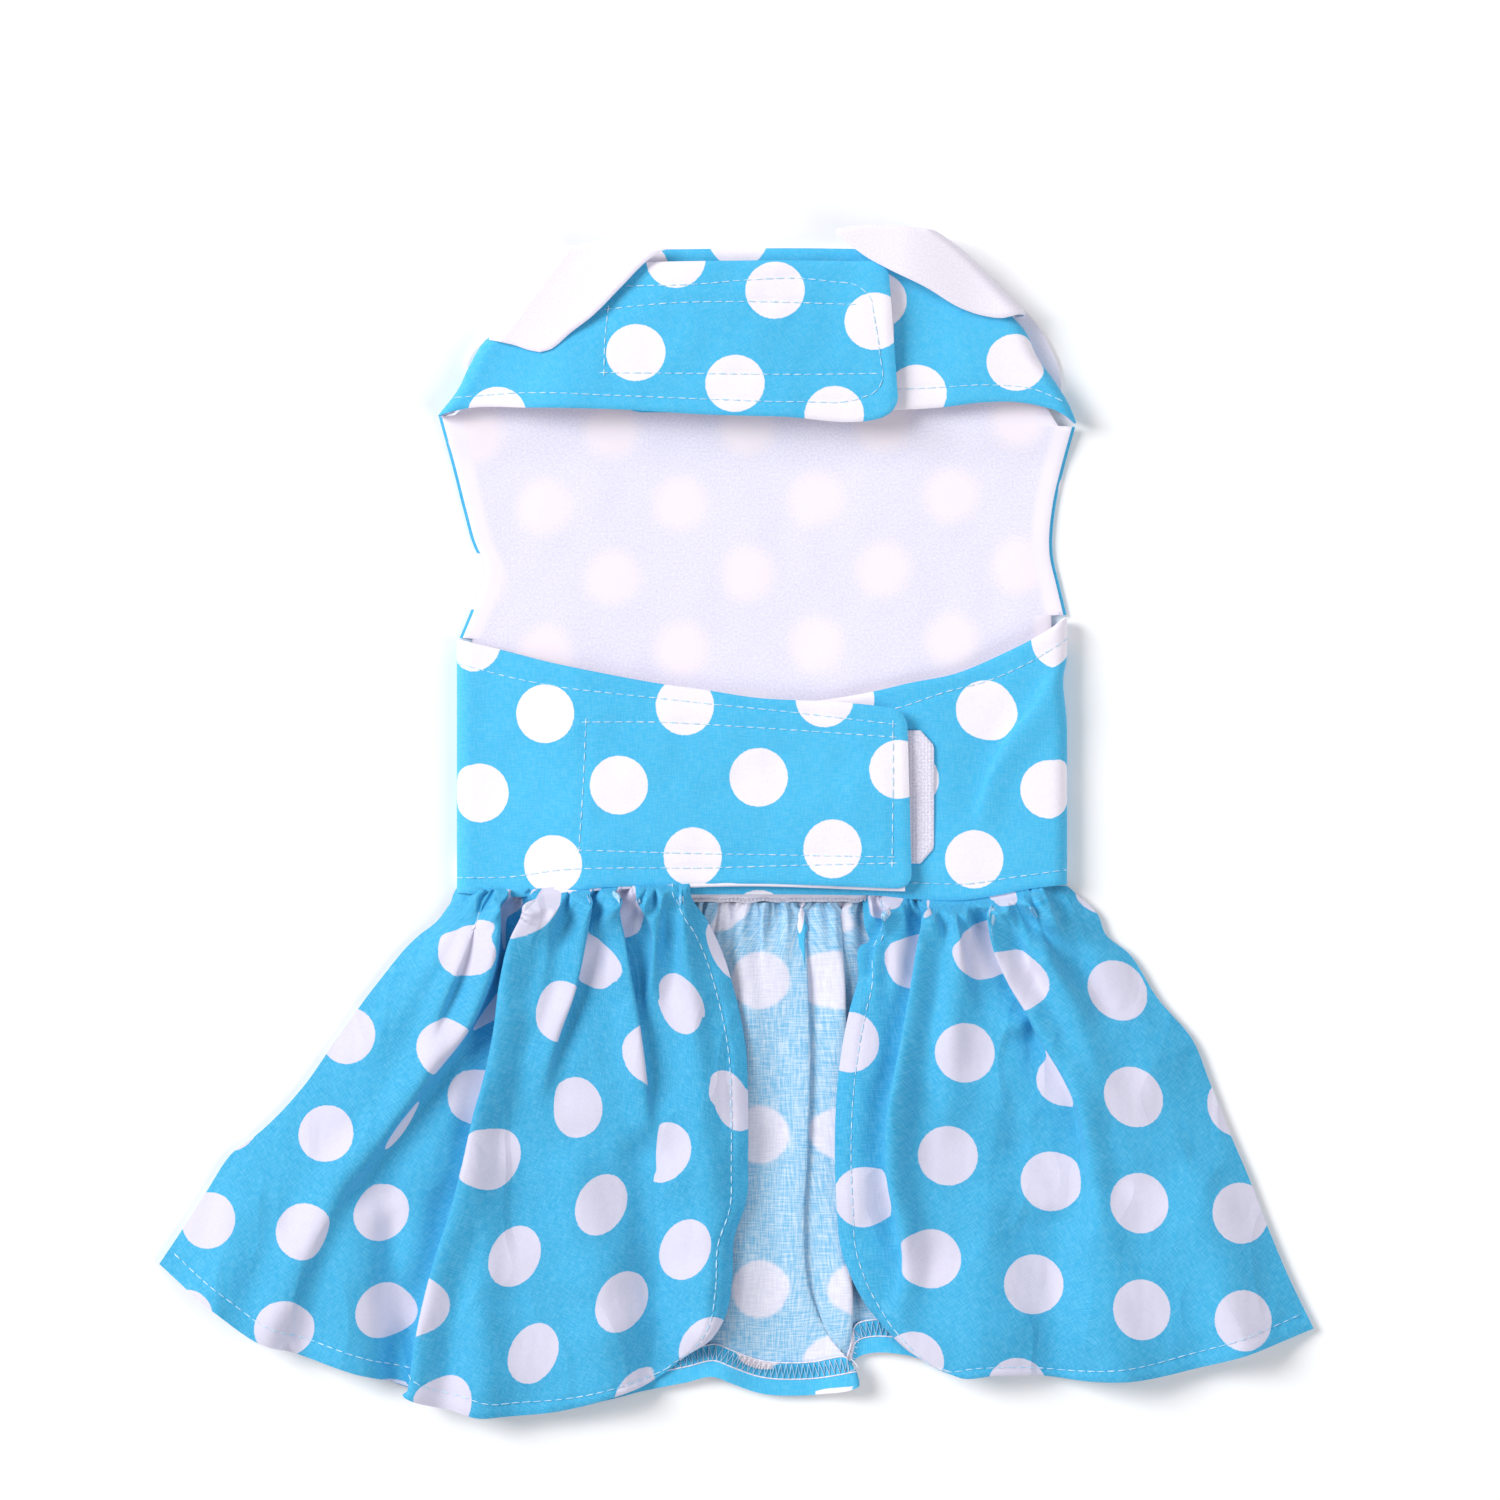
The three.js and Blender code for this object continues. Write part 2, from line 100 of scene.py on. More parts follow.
def softNoise(x, y, size, seed):
    # gentle waves in all directions, about -1 to 1
    source = np.random.RandomState(seed)
    total = np.zeros_like(x)
    for _ in range(12):
        angle, phase, scale = source.uniform(0, 6.28), source.uniform(0, 6.28), source.uniform(0.6, 1.7)
        run = (x * math.cos(angle) + y * math.sin(angle)) / (size * scale)
        total += np.sin(6.28 * run + phase)
    return total / 4.5


def besideCurve(x, y, path, steps=7):
    # how far each place is to the right of a curve, its share along it, and the way across
    count = (len(path) - 1) * steps + 1 if len(path) > 2 else 2
    line = curveAt(path, np.linspace(0, 1, count))
    best = np.full(x.shape, 1e9)
    away, along = np.zeros_like(x), np.zeros_like(x)
    across = np.zeros(x.shape + (2,))
    for k in range(count - 1):
        (ax, ay), (bx, by) = line[k], line[k + 1]
        length = math.hypot(bx - ax, by - ay)
        dx, dy = (bx - ax) / length, (by - ay) / length
        run = (x - ax) * dx + (y - ay) * dy
        inside = np.clip(run, 0, length)
        far = np.hypot(x - ax - inside * dx, y - ay - inside * dy)
        side = (x - ax) * dy - (y - ay) * dx
        near = far < best
        best = np.where(near, far, best)
        away = np.where(near, np.where(side >= 0, far, -far), away)
        along = np.where(near, (k + inside / length) / (count - 1), along)
        across = np.where(near[..., None], np.array([dy, -dx]), across)
    return away, along, across


def fabricAt(x, y, weave):
    # places on the flat print: row and drop are one step along a row of dots and one down two rows
    row, drop = weave["row"], weave["drop"]
    dx, dy = x - weave["dot"][0], y - weave["dot"][1]
    det = row[0] * drop[1] - row[1] * drop[0]
    rows = (dx * drop[1] - dy * drop[0]) / det
    drops = (dy * row[0] - dx * row[1]) / det
    return np.stack([rows * cloth["dotRow"], -drops * cloth["dotDrop"]], axis=-1)


def clothMesh(name, points, faces, flat, finishes, faceFinish, rims):
    mesh = bpy.data.meshes.new(name)
    mesh.from_pydata((points * 0.001).tolist(), [], faces.tolist())
    mesh.update()
    for finish in finishes:
        mesh.materials.append(finish)
    corners = np.zeros(len(mesh.loops), np.int32)
    mesh.loops.foreach_get("vertex_index", corners)
    layer = mesh.uv_layers.new(name="flatCloth")
    layer.data.foreach_set("uv", np.asarray(flat, np.float32)[corners].ravel())
    mesh.polygons.foreach_set("material_index", np.asarray(faceFinish, np.int32))
    mesh.polygons.foreach_set("use_smooth", np.ones(len(mesh.polygons), bool))
    ends = np.zeros(len(mesh.edges) * 2, np.int32)
    mesh.edges.foreach_get("vertices", ends)
    ends = ends.reshape(-1, 2)
    onRim = np.zeros(len(points), np.int8)
    for mark, rim in enumerate(rims):
        onRim[rim] = mark + 1
    edgeSharp = (onRim[ends[:, 0]] > 0) & (onRim[ends[:, 0]] == onRim[ends[:, 1]])
    mesh.edges.foreach_set("use_edge_sharp", edgeSharp)
    piece = bpy.data.objects.new(name, mesh)
    bpy.context.scene.collection.objects.link(piece)
    return piece


def clothSheet(name, over, flat, ply, finishes, facing=1):
    # a grid of cloth with its under face a ply below it. facing is 1 where columns run to the
    # left of rows as seen from the outside, and -1 where they run to the right
    n, m = over.shape[:2]
    normal = np.cross(np.gradient(over, axis=0), np.gradient(over, axis=1)) * facing
    for _ in range(2):
        wide = np.pad(normal, ((1, 1), (1, 1), (0, 0)), mode="edge")
        normal = sum(wide[i : i + n, j : j + m] for i in range(3) for j in range(3))
    normal /= np.maximum(np.linalg.norm(normal, axis=2, keepdims=True), 1e-12)
    under = over - normal * ply
    points = np.concatenate([over.reshape(-1, 3), under.reshape(-1, 3)])
    index = np.arange(n * m).reshape(n, m)
    top = np.stack([index[:-1, :-1], index[1:, :-1], index[1:, 1:], index[:-1, 1:]], axis=-1).reshape(-1, 4)
    ring = np.concatenate([index[:, 0], index[-1, 1:], index[-2::-1, -1], index[0, -2:0:-1]])
    following = np.roll(ring, -1)
    rim = np.stack([ring, ring + n * m, following + n * m, following], axis=-1)
    bottom = top[:, ::-1] + n * m
    faces = np.concatenate([top, bottom, rim])
    if facing < 0:
        faces = faces[:, ::-1]
    faceFinish = np.concatenate([np.zeros(len(top)), np.ones(len(top)), np.zeros(len(rim))])
    if len(finishes) < 2:
        faceFinish[:] = 0
    flatAll = np.concatenate([flat.reshape(-1, 2)] * 2)
    return clothMesh(name, points, faces, flatAll, finishes, faceFinish, [ring, ring + n * m])


def bordered(count, edge):
    # shares from 0 to 1 with three closer ones at each end, for a rolled edge that is so wide a share
    inner = np.linspace(edge, 1 - edge, count)
    near = edge * np.array([0, 0.3, 0.65])
    return np.concatenate([near, inner, 1 - near[::-1]])


def rolled(distance, reach, drop):
    # how far a folded edge rounds down, so near to it
    return drop * np.clip(1 - distance / reach, 0, 1) ** 2


def linear(red, green, blue):
    # a display colour from 0 to 255 as the shader's own numbers
    parts = [c / 255 for c in (red, green, blue)]
    return [c / 12.92 if c < 0.04045 else ((c + 0.055) / 1.055) ** 2.4 for c in parts] + [1]


class Finish:
    # one material and short ways to add its nodes
    def __init__(self, name, roughness, sheen=0.0):
        self.material = bpy.data.materials.new(name)
        self.material.use_nodes = True
        self.nodes = self.material.node_tree.nodes
        self.links = self.material.node_tree.links
        self.shader = self.nodes["Principled BSDF"]
        self.shader.inputs["Roughness"].default_value = roughness
        self.shader.inputs["Sheen Weight"].default_value = sheen
        self.shader.inputs["Sheen Roughness"].default_value = 0.5
        self.shader.inputs["Specular IOR Level"].default_value = 0.25
        self.flat = self.add("ShaderNodeUVMap", uv_map="flatCloth").outputs["UV"]
        self.place = self.add("ShaderNodeTexCoord").outputs["Object"]

    def add(self, kind, **settings):
        node = self.nodes.new(kind)
        for key, value in settings.items():
            setattr(node, key, value)
        return node

    def put(self, socket, value):
        if isinstance(value, bpy.types.NodeSocket):
            self.links.new(value, socket)
        else:
            socket.default_value = value

    def sums(self, operation, a, b=0.0, c=None):
        node = self.add("ShaderNodeMath", operation=operation)
        self.put(node.inputs[0], a)
        self.put(node.inputs[1], b)
        if c is not None:
            self.put(node.inputs[2], c)
        return node.outputs[0]

    def vector(self, operation, a, b=None):
        node = self.add("ShaderNodeVectorMath", operation=operation)
        self.put(node.inputs[0], a)
        if b is not None:
            self.put(node.inputs[1], b)
        return node.outputs["Value" if operation == "LENGTH" else "Vector"]

    def noise(self, place, scale, detail=3.0, roughness=0.55):
        node = self.add("ShaderNodeTexNoise")
        self.put(node.inputs["Vector"], place)
        for key, value in (("Scale", scale), ("Detail", detail), ("Roughness", roughness)):
            node.inputs[key].default_value = value
        return node.outputs["Fac"]

    def yarns(self, stretch, *rest):
        return self.noise(self.vector("MULTIPLY", self.flat, (*stretch, 1)), *rest)

    def span(self, value, low, high, toLow=0.0, toHigh=1.0):
        node = self.add("ShaderNodeMapRange", interpolation_type="SMOOTHSTEP")
        self.put(node.inputs["Value"], value)
        for key, number in (("From Min", low), ("From Max", high), ("To Min", toLow), ("To Max", toHigh)):
            node.inputs[key].default_value = number
        return node.outputs["Result"]

    def blend(self, share, first, second, kind="MIX"):
        node = self.add("ShaderNodeMix", data_type="RGBA", blend_type=kind)
        self.put(node.inputs["Factor"], share)
        self.put(node.inputs["A"], first)
        self.put(node.inputs["B"], second)
        return node.outputs["Result"]

    def dots(self, radius, soft, wobble=0.25):
        # 1 inside the print's dots: two square lattices, half a step apart both ways
        step = (cloth["dotRow"], cloth["dotDrop"], 1)
        edge = self.sums("MULTIPLY_ADD", self.noise(self.flat, 0.9, 2.0), wobble * 2, -wobble)
        near = []
        for half in (0.0, 0.5):
            cell = self.vector("DIVIDE", self.flat, step)
            cell = self.vector("FRACTION", self.vector("ADD", cell, (half + 0.5, half + 0.5, 0)))
            offset = self.vector("MULTIPLY", self.vector("SUBTRACT", cell, (0.5, 0.5, 0)), step)
            near.append(self.vector("LENGTH", self.vector("MULTIPLY", offset, (1, 1, 0))))
        distance = self.sums("ADD", self.sums("MINIMUM", near[0], near[1]), edge)
        return self.span(distance, radius + soft, radius - soft)

    def bump(self, height, strength, depth, under=None):
        node = self.add("ShaderNodeBump")
        node.inputs["Strength"].default_value = strength
        node.inputs["Distance"].default_value = depth
        self.put(node.inputs["Height"], height)
        if under is not None:
            self.put(node.inputs["Normal"], under)
        return node.outputs["Normal"]

    def weave(self, pitch, strength, depth, crumple=0.0):
        # crossing threads with a little unevenness, as bump, over small creases that are so deep
        turned = []
        for axis in ("X", "Y"):
            node = self.add("ShaderNodeTexWave", wave_type="BANDS", bands_direction=axis)
            node.wave_profile = "SIN"
            self.put(node.inputs["Vector"], self.flat)
            node.inputs["Scale"].default_value = 0.314 / pitch
            node.inputs["Distortion"].default_value = 0.6
            node.inputs["Detail Scale"].default_value = 2.0
            turned.append(node.outputs["Fac"])
        threads = self.sums("MAXIMUM", turned[0], turned[1])
        slub = self.yarns((0.25, 2.4), 1.0, 3.0)
        height = self.sums("MULTIPLY_ADD", slub, 0.8, threads)
        under = self.bump(self.creases(), 1.0, crumple) if crumple else None
        self.put(self.shader.inputs["Normal"], self.bump(height, strength, depth, under))

    def creases(self):
        # broad waves and a few sharper lines, longer down the cloth than across it
        long = self.vector("MULTIPLY", self.place, (1, 0.45, 1))
        wave = self.noise(long, 75.0, 2.0, 0.5)
        line = self.sums("ABSOLUTE", self.sums("SUBTRACT", self.noise(long, 42.0, 1.0, 0.5), 0.5))
        return self.sums("MULTIPLY_ADD", self.sums("MINIMUM", line, 0.07), -5.0, wave)

    def colour(self, value):
        self.put(self.shader.inputs["Base Color"], value)
        return self.material


def printFinish(name, groundDark, groundPale, dotPale, dotDark, crumple=0.0):
    finish = Finish(name, roughness=0.78, sheen=0.12)
    warp = finish.yarns((2.4, 0.3), 1.0, 3.0, 0.6)
    weft = finish.yarns((0.3, 2.4), 1.0, 3.0, 0.6)
    yarn = finish.sums("MULTIPLY_ADD", warp, 0.5, finish.sums("MULTIPLY", weft, 0.5))
    patches = finish.noise(finish.place, 22.0, 2.0)
    ground = finish.blend(patches, groundDark, groundPale)
    ground = finish.blend(finish.span(yarn, 0.4, 0.64, 0.0, 0.42), ground, linear(124, 208, 242))
    dot = finish.blend(finish.span(yarn, 0.42, 0.68, 0.0, 0.3), dotPale, dotDark)
    finish.weave(0.42, 0.35, 0.00012, crumple)
    return finish.colour(finish.blend(finish.dots(cloth["dotRadius"], 0.16), ground, dot))


def reverseFinish():
    # the print's wrong side: pale, streaky, with the dots showing through softly
    finish = Finish("printedCottonReverse", roughness=0.85, sheen=0.1)
    streak = finish.yarns((0.25, 2.8), 0.8, 4.0, 0.6)
    cross = finish.yarns((2.8, 0.2), 0.8, 4.0, 0.6)
    mottle = finish.sums("MULTIPLY_ADD", cross, 0.5, finish.sums("MULTIPLY", streak, 0.5))
    ground = finish.blend(finish.span(mottle, 0.38, 0.66), linear(122, 190, 230), linear(212, 231, 246))
    dot = finish.blend(finish.span(mottle, 0.35, 0.7), linear(222, 221, 240), linear(245, 243, 252))
    finish.weave(0.42, 0.4, 0.00014)
    return finish.colour(finish.blend(finish.dots(cloth["dotRadius"] - 0.3, 0.7, 0.5), ground, dot))


def liningFinish():
    # plain white cotton, through which the print's dots show as whiter rounds
    finish = Finish("whiteLining", roughness=0.82, sheen=0.1)
    yarn = finish.noise(finish.flat, 1.3, 4.0, 0.65)
    ground = finish.blend(finish.span(yarn, 0.3, 0.7), linear(227, 223, 244), linear(244, 240, 252))
    ghost = finish.blend(finish.dots(cloth["dotRadius"] - 0.6, 3.8, 3.0), ground, linear(250, 240, 248))
    facing = finish.add("ShaderNodeAttribute", attribute_name="facing").outputs["Fac"]
    finish.weave(0.4, 0.35, 0.00012)
    return finish.colour(finish.blend(facing, ghost, linear(248, 241, 251)))


def plainFinish(name, dark, pale, roughness, pitch=0.4, depth=0.00012):
    finish = Finish(name, roughness, sheen=0.1)
    yarn = finish.noise(finish.flat, 1.3, 4.0, 0.65)
    finish.weave(pitch, 0.4, depth)
    return finish.colour(finish.blend(finish.span(yarn, 0.3, 0.7), dark, pale))


def threadFinish(name, dark, pale):
    finish = Finish(name, roughness=0.6, sheen=0.2)
    twist = finish.noise(finish.vector("MULTIPLY", finish.place, (1, 1, 0.2)), 900.0, 2.0)
    finish.put(finish.shader.inputs["Normal"], finish.bump(twist, 0.3, 0.0001))
    return finish.colour(finish.blend(finish.span(twist, 0.35, 0.65), dark, pale))


printed = printFinish("printedCotton", linear(56, 178, 228), linear(76, 195, 242),
                      linear(250, 243, 251), linear(222, 222, 243))
# the front skirts' copy of the print: ground and dots painted darker than the bodice's, as painted shade,
# with small creases as bump
printedSkirtShaded = printFinish("printedCottonSkirtShaded", linear(44, 160, 208), linear(64, 178, 226),
                           linear(222, 218, 236), linear(196, 197, 223), 0.0011)
reverse = reverseFinish()
lining = liningFinish()
collarWhite = plainFinish("whiteCollar", linear(240, 233, 246), linear(250, 243, 253), 0.75, 0.5)
tapeWhite = plainFinish("loopTape", linear(216, 212, 232), linear(246, 240, 252), 0.95, 1.1, 0.0005)
hookWhite = plainFinish("hookTape", linear(222, 222, 236), linear(244, 243, 250), 0.6, 1.3, 0.0006)
threadBlue = threadFinish("blueThread", linear(165, 218, 242), linear(216, 239, 251))
threadWhite = threadFinish("whiteThread", linear(226, 222, 238), linear(252, 248, 255))
print("finishes made")


def finished(piece, replaced=()):
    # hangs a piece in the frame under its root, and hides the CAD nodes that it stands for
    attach(piece, "root")
    if replaced:
        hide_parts(*replaced)


def lapped(path, width, lap, rise, **more):
    # a fold that laps over itself, with a value at each end of its path
    return {"path": path, "width": width, "lap": lap, "rise": rise, **more}


def ridge(path, width, rise, **more):
    # a wave without a lap
    return {"kind": "ridge", "path": path, "width": width, "lap": (0, 0), "rise": rise, **more}


def foldCloth(x, y, z, folds, relief=1.0, calm=1.0):
    # lays a sheet into folds. Each runs along a path: the cloth laps over itself by lap, stands up
    # by rise, and hides some of the print beyond it. Pairs are values at the path's two ends.
    baseX, baseY = x, y
    x, y, z = x.copy(), y.copy(), z.copy()
    hiddenX, hiddenY = np.zeros_like(x), np.zeros_like(x)
    sides = []
    for fold in folds:
        away, along, across = besideCurve(baseX, baseY, fold["path"])
        width, lap, rise = (mix(*fold[key], along) for key in ("width", "lap", "rise"))
        over = fold.get("over", -1)
        near = away / width
        shift = -lap * 2 * near * np.exp(-near * near) * calm
        if fold.get("kind") == "ridge":
            lift = rise * np.exp(-near * near)
        else:
            high, low = near - 0.8 * over, near + 0.9 * over
            lift = rise * (np.exp(-high * high) - 0.35 * np.exp(-low * low))
        ends = np.ones_like(x)
        if fold.get("fadeIn", False):
            ends = ends * smooth(along / 0.15)
        if fold.get("fadeOut", True):
            ends = ends * smooth((1 - along) / fold.get("fade", 0.25))
        x += across[..., 0] * shift * ends
        y += across[..., 1] * shift * ends
        z += lift * ends * relief
        # the print jumps where the lap hides it, and the hidden cloth counts on the left-hand side
        right = smooth(near / 1.2 + 0.5 + (0.31 * over if np.max(lap) > 1 else 0))
        sides.append(right)
        if "hides" in fold:
            beyond = 1 - right
            start, end = np.array(fold["hides"][0]), np.array(fold["hides"][1])
            hiddenX += beyond * mix(start[0], end[0], along)
            hiddenY += beyond * mix(start[1], end[1], along)
    return x, y, z, baseX + hiddenX, baseY + hiddenY, sides


def coonsPatch(start, end, low, high, u, v):
    # places between four curves: start and end run with v, low and high run with u
    starts, ends = curveAt(start, v), curveAt(end, v)
    lows, highs = curveAt(low, u), curveAt(high, u)
    a, b = u[:, None, None], v[None, :, None]
    ruled = mix(starts[None], ends[None], a) + mix(lows[:, None], highs[:, None], b)
    corners = mix(mix(lows[0], lows[-1], a), mix(highs[0], highs[-1], a), b)
    return ruled - corners


def pullAlong(distance, depth=0.35, reach=1.2):
    # how far stitching pulls the cloth down, so far from its line
    return depth * np.exp(-((distance / reach) ** 2))


def pulledIn(x, y, lines):
    pull = np.zeros_like(x)
    for line in lines:
        away, _, _ = besideCurve(x, y, line, 4)
        pull = np.maximum(pull, pullAlong(away, 0.3, 1.1))
    return pull


def drape(lines, piece, lift=0.15, step=0.9):
    # the lines as chains of points on top of a piece
    points = [tuple(v.co * 1000) for v in piece.data.vertices]
    tree = BVHTree.FromPolygons(points, [tuple(p.vertices) for p in piece.data.polygons])
    chains = []
    for line in lines:
        length = np.linalg.norm(np.diff(np.asarray(line, float), axis=0), axis=1).sum()
        chain = []
        for px, py in curveAt(line, np.linspace(0, 1, max(3, int(length / step)))):
            hit = tree.ray_cast(Vector((px, py, 60)), Vector((0, 0, -1)))[0]
            if hit is not None:
                chain.append((px, py, hit.z + lift))
        if len(chain) > 2:
            chains.append(chain)
    return chains


neckLeft = [(156.8, -107.2), (162.7, -101.3), (171.6, -96.7), (181.2, -90.4), (185.5, -84.6),
    (212.5, -63.0)]
neckRight = [(152.8, 104.0), (161.4, 98.3), (170.3, 91.4), (180.8, 86.8), (188.1, 81.0), (212.5, 61.3)]
bodice = {
    "bottom": -3.7,
    "top": 212.0,
    "sideInset": 95.9,  # the back panel stops short of the folds, where a strap goes round them
    "leftBelly": 83.2,
    "rightBelly": 90.8,
    "leftShoulder": 156.9,
    "rightShoulder": 153.4,
    "leftArmhole": [(83.2, -100.3), (95.7, -95.4), (108.9, -93.1), (112.5, -95.0), (124.7, -98.7),
        (138.9, -102.3), (157.0, -107.2)],
    "rightArmhole": [(90.8, 101.0), (102.3, 98.3), (108.9, 96.7), (127.4, 97.4), (140.3, 100.3),
        (154.0, 104.0)],
    "weave": {"dot": (-4.6, 104.6), "row": (44.9, 1.3), "drop": (0.3, -48.2)},
    "facingBand": 6.4,
    "neckGap": 0.4,  # from the back panel to the strap's turn round the neck
    "neckRise": (139, 155),
}


def bodiceEdges(y, inset):
    left = readTable(bodice["leftArmhole"], y) + inset
    left = np.where(y < bodice["leftBelly"], -bodice["sideInset"], left)
    neck = readTable(neckLeft, y) + level["turn"] + bodice["neckGap"]
    left = np.where(y > bodice["leftShoulder"], neck, left)
    right = readTable(bodice["rightArmhole"], y) - inset
    right = np.where(y < bodice["rightBelly"], bodice["sideInset"], right)
    neck = readTable(neckRight, y) - level["turn"] - bodice["neckGap"]
    right = np.where(y > bodice["rightShoulder"], neck, right)
    return left, right


def bodicePanel(name, bottom, height, ply, inset, finishes, wrinkle, seed):
    corners = [bodice[k] for k in ("leftBelly", "rightBelly", "leftShoulder", "rightShoulder")]
    breaks = [corner + step for corner in corners for step in (-0.15, 0.15)]
    rows = np.unique(np.concatenate([np.linspace(bottom, bodice["top"], 95), breaks]))
    shares = bordered(84, 0.012)
    left, right = bodiceEdges(rows, inset)
    x = mix(left[None], right[None], shares[:, None])
    y = np.broadcast_to(rows[None], x.shape).copy()
    low, high = bodice["neckRise"]
    lift = level["neckLift"] * smooth((y - low) / (high - low))
    z = height + lift + wrinkle * (softNoise(x, y, 60, seed) + 0.35 * softNoise(x, y, 17, seed + 1))
    armhole = (y > bodice["leftBelly"]) & (y < bodice["leftShoulder"])
    edge = np.minimum(x - left[None], right[None] - x)
    z = np.maximum(z - rolled(edge, 2.0, 0.4) * armhole, ply + 0.02)
    flat = fabricAt(x, y, bodice["weave"])
    piece = clothSheet(name, np.stack([x, y, z], axis=-1), flat, ply, finishes)
    band = (1 - smooth((edge - bodice["facingBand"] + 0.4) / 0.5)) * armhole
    layer = piece.data.attributes.new("facing", "FLOAT", "POINT")
    layer.data.foreach_set("value", np.concatenate([band.ravel()] * 2).astype(np.float32))
    return piece


backPanel = bodicePanel("bodiceBack", bodice["bottom"], level["backPanel"], 0.9, 0,
                        [printed, lining], 0.0, 3)
finished(backPanel, ["bodice_back"])
liningPanel = bodicePanel("bodiceLining", 0.9, level["lining"], 0.8, 1.1, [lining], 0.35, 5)
finished(liningPanel, ["bodice_lining"])

seam = {"left": -94.0, "right": 94.0, "low": -4.1, "high": -1.2, "lowHeight": 4.6, "height": 7.4,
    "thread": (-3.0, 6.0)}
x, across = np.meshgrid(np.linspace(seam["left"], seam["right"], 220), np.linspace(0, 1, 5), indexing="ij")
y = mix(seam["low"], seam["high"], across) + 0.25 * softNoise(x, x * 0, 9, 8)
z = mix(seam["lowHeight"], seam["height"], across) + 0.12 * softNoise(x, y, 4, 9)
flat = np.stack([x, y], axis=-1)
seamPiece = clothSheet("waistSeam", np.stack([x, y, z], axis=-1), flat, 0.7, [collarWhite])
finished(seamPiece, ["waist_seam"])
print("bodice made")


def turnedSheet(name, side, patch, edges, floor, height, ply, weave, finishes, folds, stitches, seed,
                wrinkle=0.55):
    # a sheet that comes round a fold from below: side is 1 where the fold is on the right
    x, y = patch[..., 0], patch[..., 1]
    inward = (x[:1] - x) * side
    z = height(x, inward)
    z = z - rolled(edges, 1.7, 0.6) - pulledIn(x, y, stitches)
    calm = smooth(inward / 18)
    z = z + wrinkle * calm * (softNoise(x, y, 48, seed) + 0.3 * softNoise(x, y, 16, seed + 1))
    x, y, z, flatX, flatY, _ = foldCloth(x, y, z, folds)
    angles = np.linspace(-math.pi / 2, math.pi / 2, 15)[:-1]
    startX, startY, startZ = x[0], y[0], z[0]
    turnX = startX[None] + side * level["turn"] * np.cos(angles)[:, None]
    turnZ = (floor + startZ)[None] / 2 + (startZ - floor)[None] / 2 * np.sin(angles)[:, None]
    slant = (y[1] - y[0]) / (x[1] - x[0])
    turnY = startY[None] + slant[None] * (turnX - startX[None])
    turn = np.stack([turnX, turnY, turnZ], axis=-1)
    over = np.concatenate([turn, np.stack([x, y, z], axis=-1)])
    reach = np.linalg.norm(np.diff(over[: len(angles) + 1], axis=0), axis=2)
    beyond = reach[::-1].cumsum(axis=0)[::-1]
    flatX = np.concatenate([flatX[:1] + side * beyond, flatX])
    flatY = np.concatenate([np.broadcast_to(flatY[:1], turnX.shape), flatY])
    return clothSheet(name, over, fabricAt(flatX, flatY, weave), ply, finishes, -side)


def strapPatch(spec, side):
    # rows run from the bottom edge to the top one, columns from the turn's end to the free end
    t = bordered(spec["rows"], 0.03)
    a = np.linspace(0, 1, spec["columns"])
    outer = spec["foldX"](0)  # at the strap's lower end
    middle = mix(readTable(spec["bottom"], outer), readTable(spec["top"], outer), t)
    start = spec["foldX"](middle) - side * level["turn"]
    height = abs(spec["endTop"][1] - spec["endBottom"][1])
    corner = np.minimum(t, 1 - t) * height
    inside = np.clip(1 - corner / spec["corner"], 0, 1)
    cut = spec["corner"] * (1 - np.sqrt(1 - inside**2))
    end = mix(spec["endBottom"][0], spec["endTop"][0], t) + side * cut
    x = mix(start[None], end[None], a[:, None])
    y = mix(readTable(spec["bottom"], x), readTable(spec["top"], x), t[None])
    patch = np.stack([x, y], axis=-1)
    edge = np.minimum(y - readTable(spec["bottom"], x), readTable(spec["top"], x) - y)
    return patch, np.minimum(edge, np.abs(x - end[None]))


bellyLeft = {
    "top": [(-100.5, 82.8), (-86.8, 79.5), (-70.0, 75.2), (-52.8, 71.6), (-33.0, 68.0), (-20.5, 66.3),
        (-4.0, 63.7), (29.0, 61.7), (42.6, 60.1), (50.5, 58.4)],
    "bottom": [(-101.3, -1.0), (-79.9, -2.3), (-53.5, 0.7), (-23.8, 1.7), (-13.9, 2.0), (50.5, 0.3)],
    "foldX": lambda y: -101.0 + 0 * y,
    "endTop": (47.9, 58.7),
    "endBottom": (49.5, 1.3),
    "corner": 5.0,
    "rows": 56,
    "columns": 100,
    "weave": {"dot": (-47.2, 34.6), "row": (46.1, 2.6), "drop": (2.6, -49.8)},
    "stitches": [
        [(-99.7, 74.6), (-82.2, 70.0), (-66.7, 67.0), (-50.2, 65.0), (-35.0, 63.4), (-17.2, 61.4),
            (5.9, 59.1), (25.7, 56.8), (43.2, 54.8)],
        [(-99.7, 4.0), (-83.2, 4.3), (-66.7, 6.6), (-46.9, 7.3), (-20.5, 7.3), (12.5, 8.2), (43.2, 8.9)],
        [(43.2, 54.8), (43.2, 33.0), (42.9, 8.9)],
        [(-58.1, 55.4), (-35.0, 55.4), (-0.7, 53.5), (43.2, 50.5)],
        [(-58.1, 55.4), (-59.1, 33.0), (-60.4, 13.2)],
        [(-60.4, 13.2), (-27.1, 12.2), (5.9, 11.6), (42.6, 10.9)],
    ],
}
